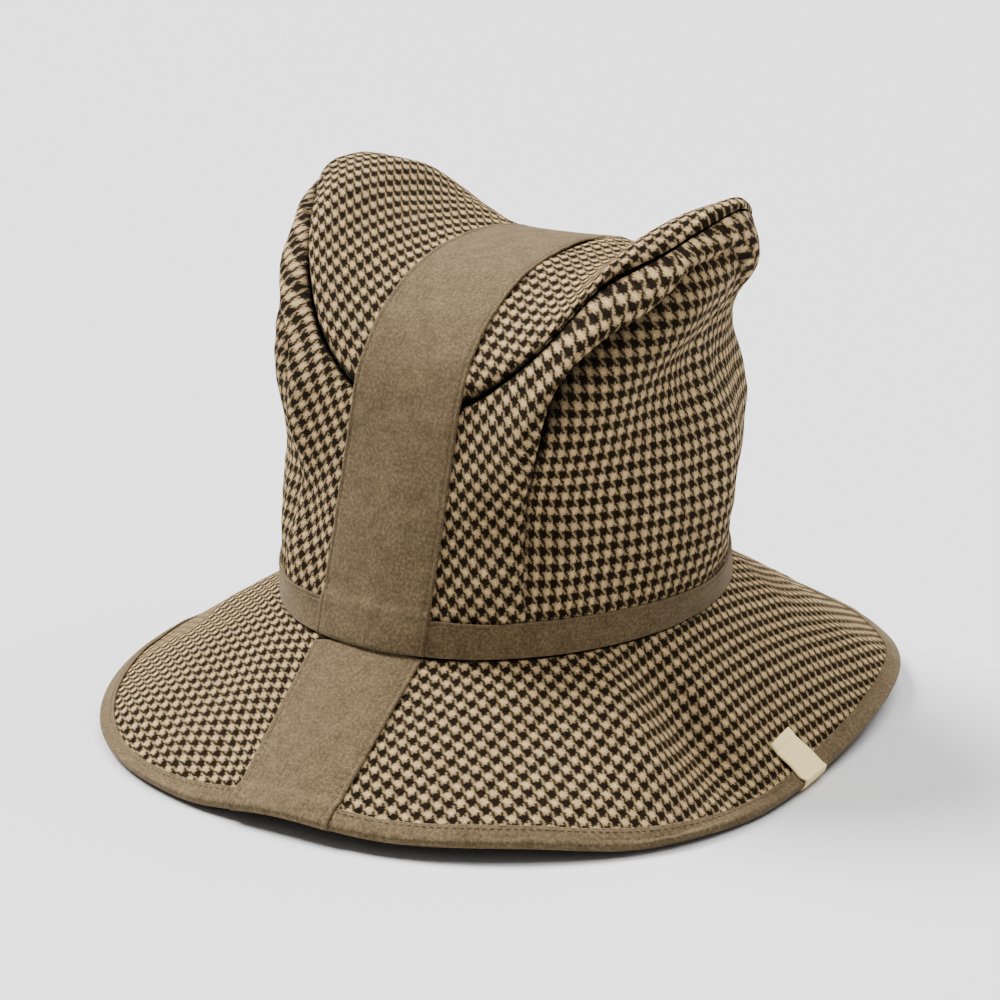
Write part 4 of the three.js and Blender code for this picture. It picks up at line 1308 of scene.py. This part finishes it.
def make_floor():
    """A pale floor disc, large enough to fill the view."""
    angle = np.linspace(0, 2 * np.pi, FLOOR_SIDES + 1)[:-1]
    mesh = bpy.data.meshes.new("floor")
    ring = [(FLOOR_RADIUS * np.cos(a), FLOOR_RADIUS * np.sin(a), FLOOR_LEVEL) for a in angle]
    mesh.from_pydata(ring, [], [list(range(FLOOR_SIDES))])
    material = bpy.data.materials.new("pale_floor")
    material.use_nodes = True
    shader = material.node_tree.nodes["Principled BSDF"]
    shader.inputs["Base Color"].default_value = (FLOOR_GREY, FLOOR_GREY, FLOOR_GREY, 1)
    shader.inputs["Roughness"].default_value = 0.9
    mesh.materials.append(material)
    floor = bpy.data.objects.new("floor", mesh)
    bpy.context.scene.collection.objects.link(floor)


def make_light(name, towards, spread, strength):
    """A broad studio light, far away in a direction, that spreads over an angle in degrees."""
    light = bpy.data.lights.new(name, "SUN")
    light.angle = np.radians(spread)
    light.energy = strength
    lamp = bpy.data.objects.new(name, light)
    lamp.location = Vector(towards) * 2
    lamp.rotation_euler = (-Vector(towards)).to_track_quat("-Z", "Y").to_euler()
    bpy.context.scene.collection.objects.link(lamp)


CAMERA_TURN, CAMERA_RISE, CAMERA_ROLL = 33.6, 17.98, -0.61
CAMERA_DISTANCE = 1100.0
CAMERA_TARGET = np.array([-3.85, 0.0, 83.72])
CAMERA_LENS = 96.2
SENSOR_WIDTH = 36.0


def make_camera():
    """The camera on its ray from the target, at the photograph's turn, rise and roll."""
    a, e, r = np.radians([CAMERA_TURN, CAMERA_RISE, CAMERA_ROLL])
    back = np.array([np.sin(a) * np.cos(e), -np.cos(a) * np.cos(e), np.sin(e)])
    right = np.array([np.cos(a), np.sin(a), 0.0])
    up = np.cross(back, right)
    rolled_right = right * np.cos(r) + up * np.sin(r)
    rolled_up = -right * np.sin(r) + up * np.cos(r)
    place = (CAMERA_TARGET + HAT_CENTRE + back * CAMERA_DISTANCE) * MM
    data = bpy.data.cameras.new("camera")
    data.lens = CAMERA_LENS
    data.sensor_width = SENSOR_WIDTH
    data.clip_end = 50.0
    camera = bpy.data.objects.new("camera", data)
    matrix = Matrix.Identity(4)
    for column, axis in enumerate((rolled_right, rolled_up, back, place)):
        for row in range(3):
            matrix[row][column] = axis[row]
    camera.matrix_world = matrix
    bpy.context.scene.collection.objects.link(camera)
    bpy.context.scene.camera = camera


make_floor()
for light_name, (towards, spread, strength) in LIGHTS.items():
    make_light(light_name, towards, spread, strength)
world = bpy.data.worlds.new("studio")
world.use_nodes = True
background = world.node_tree.nodes["Background"]
background.inputs[0].default_value = (1.0, 1.0, 1.0, 1)
background.inputs[1].default_value = WORLD_STRENGTH
bpy.context.scene.world = world
make_camera()
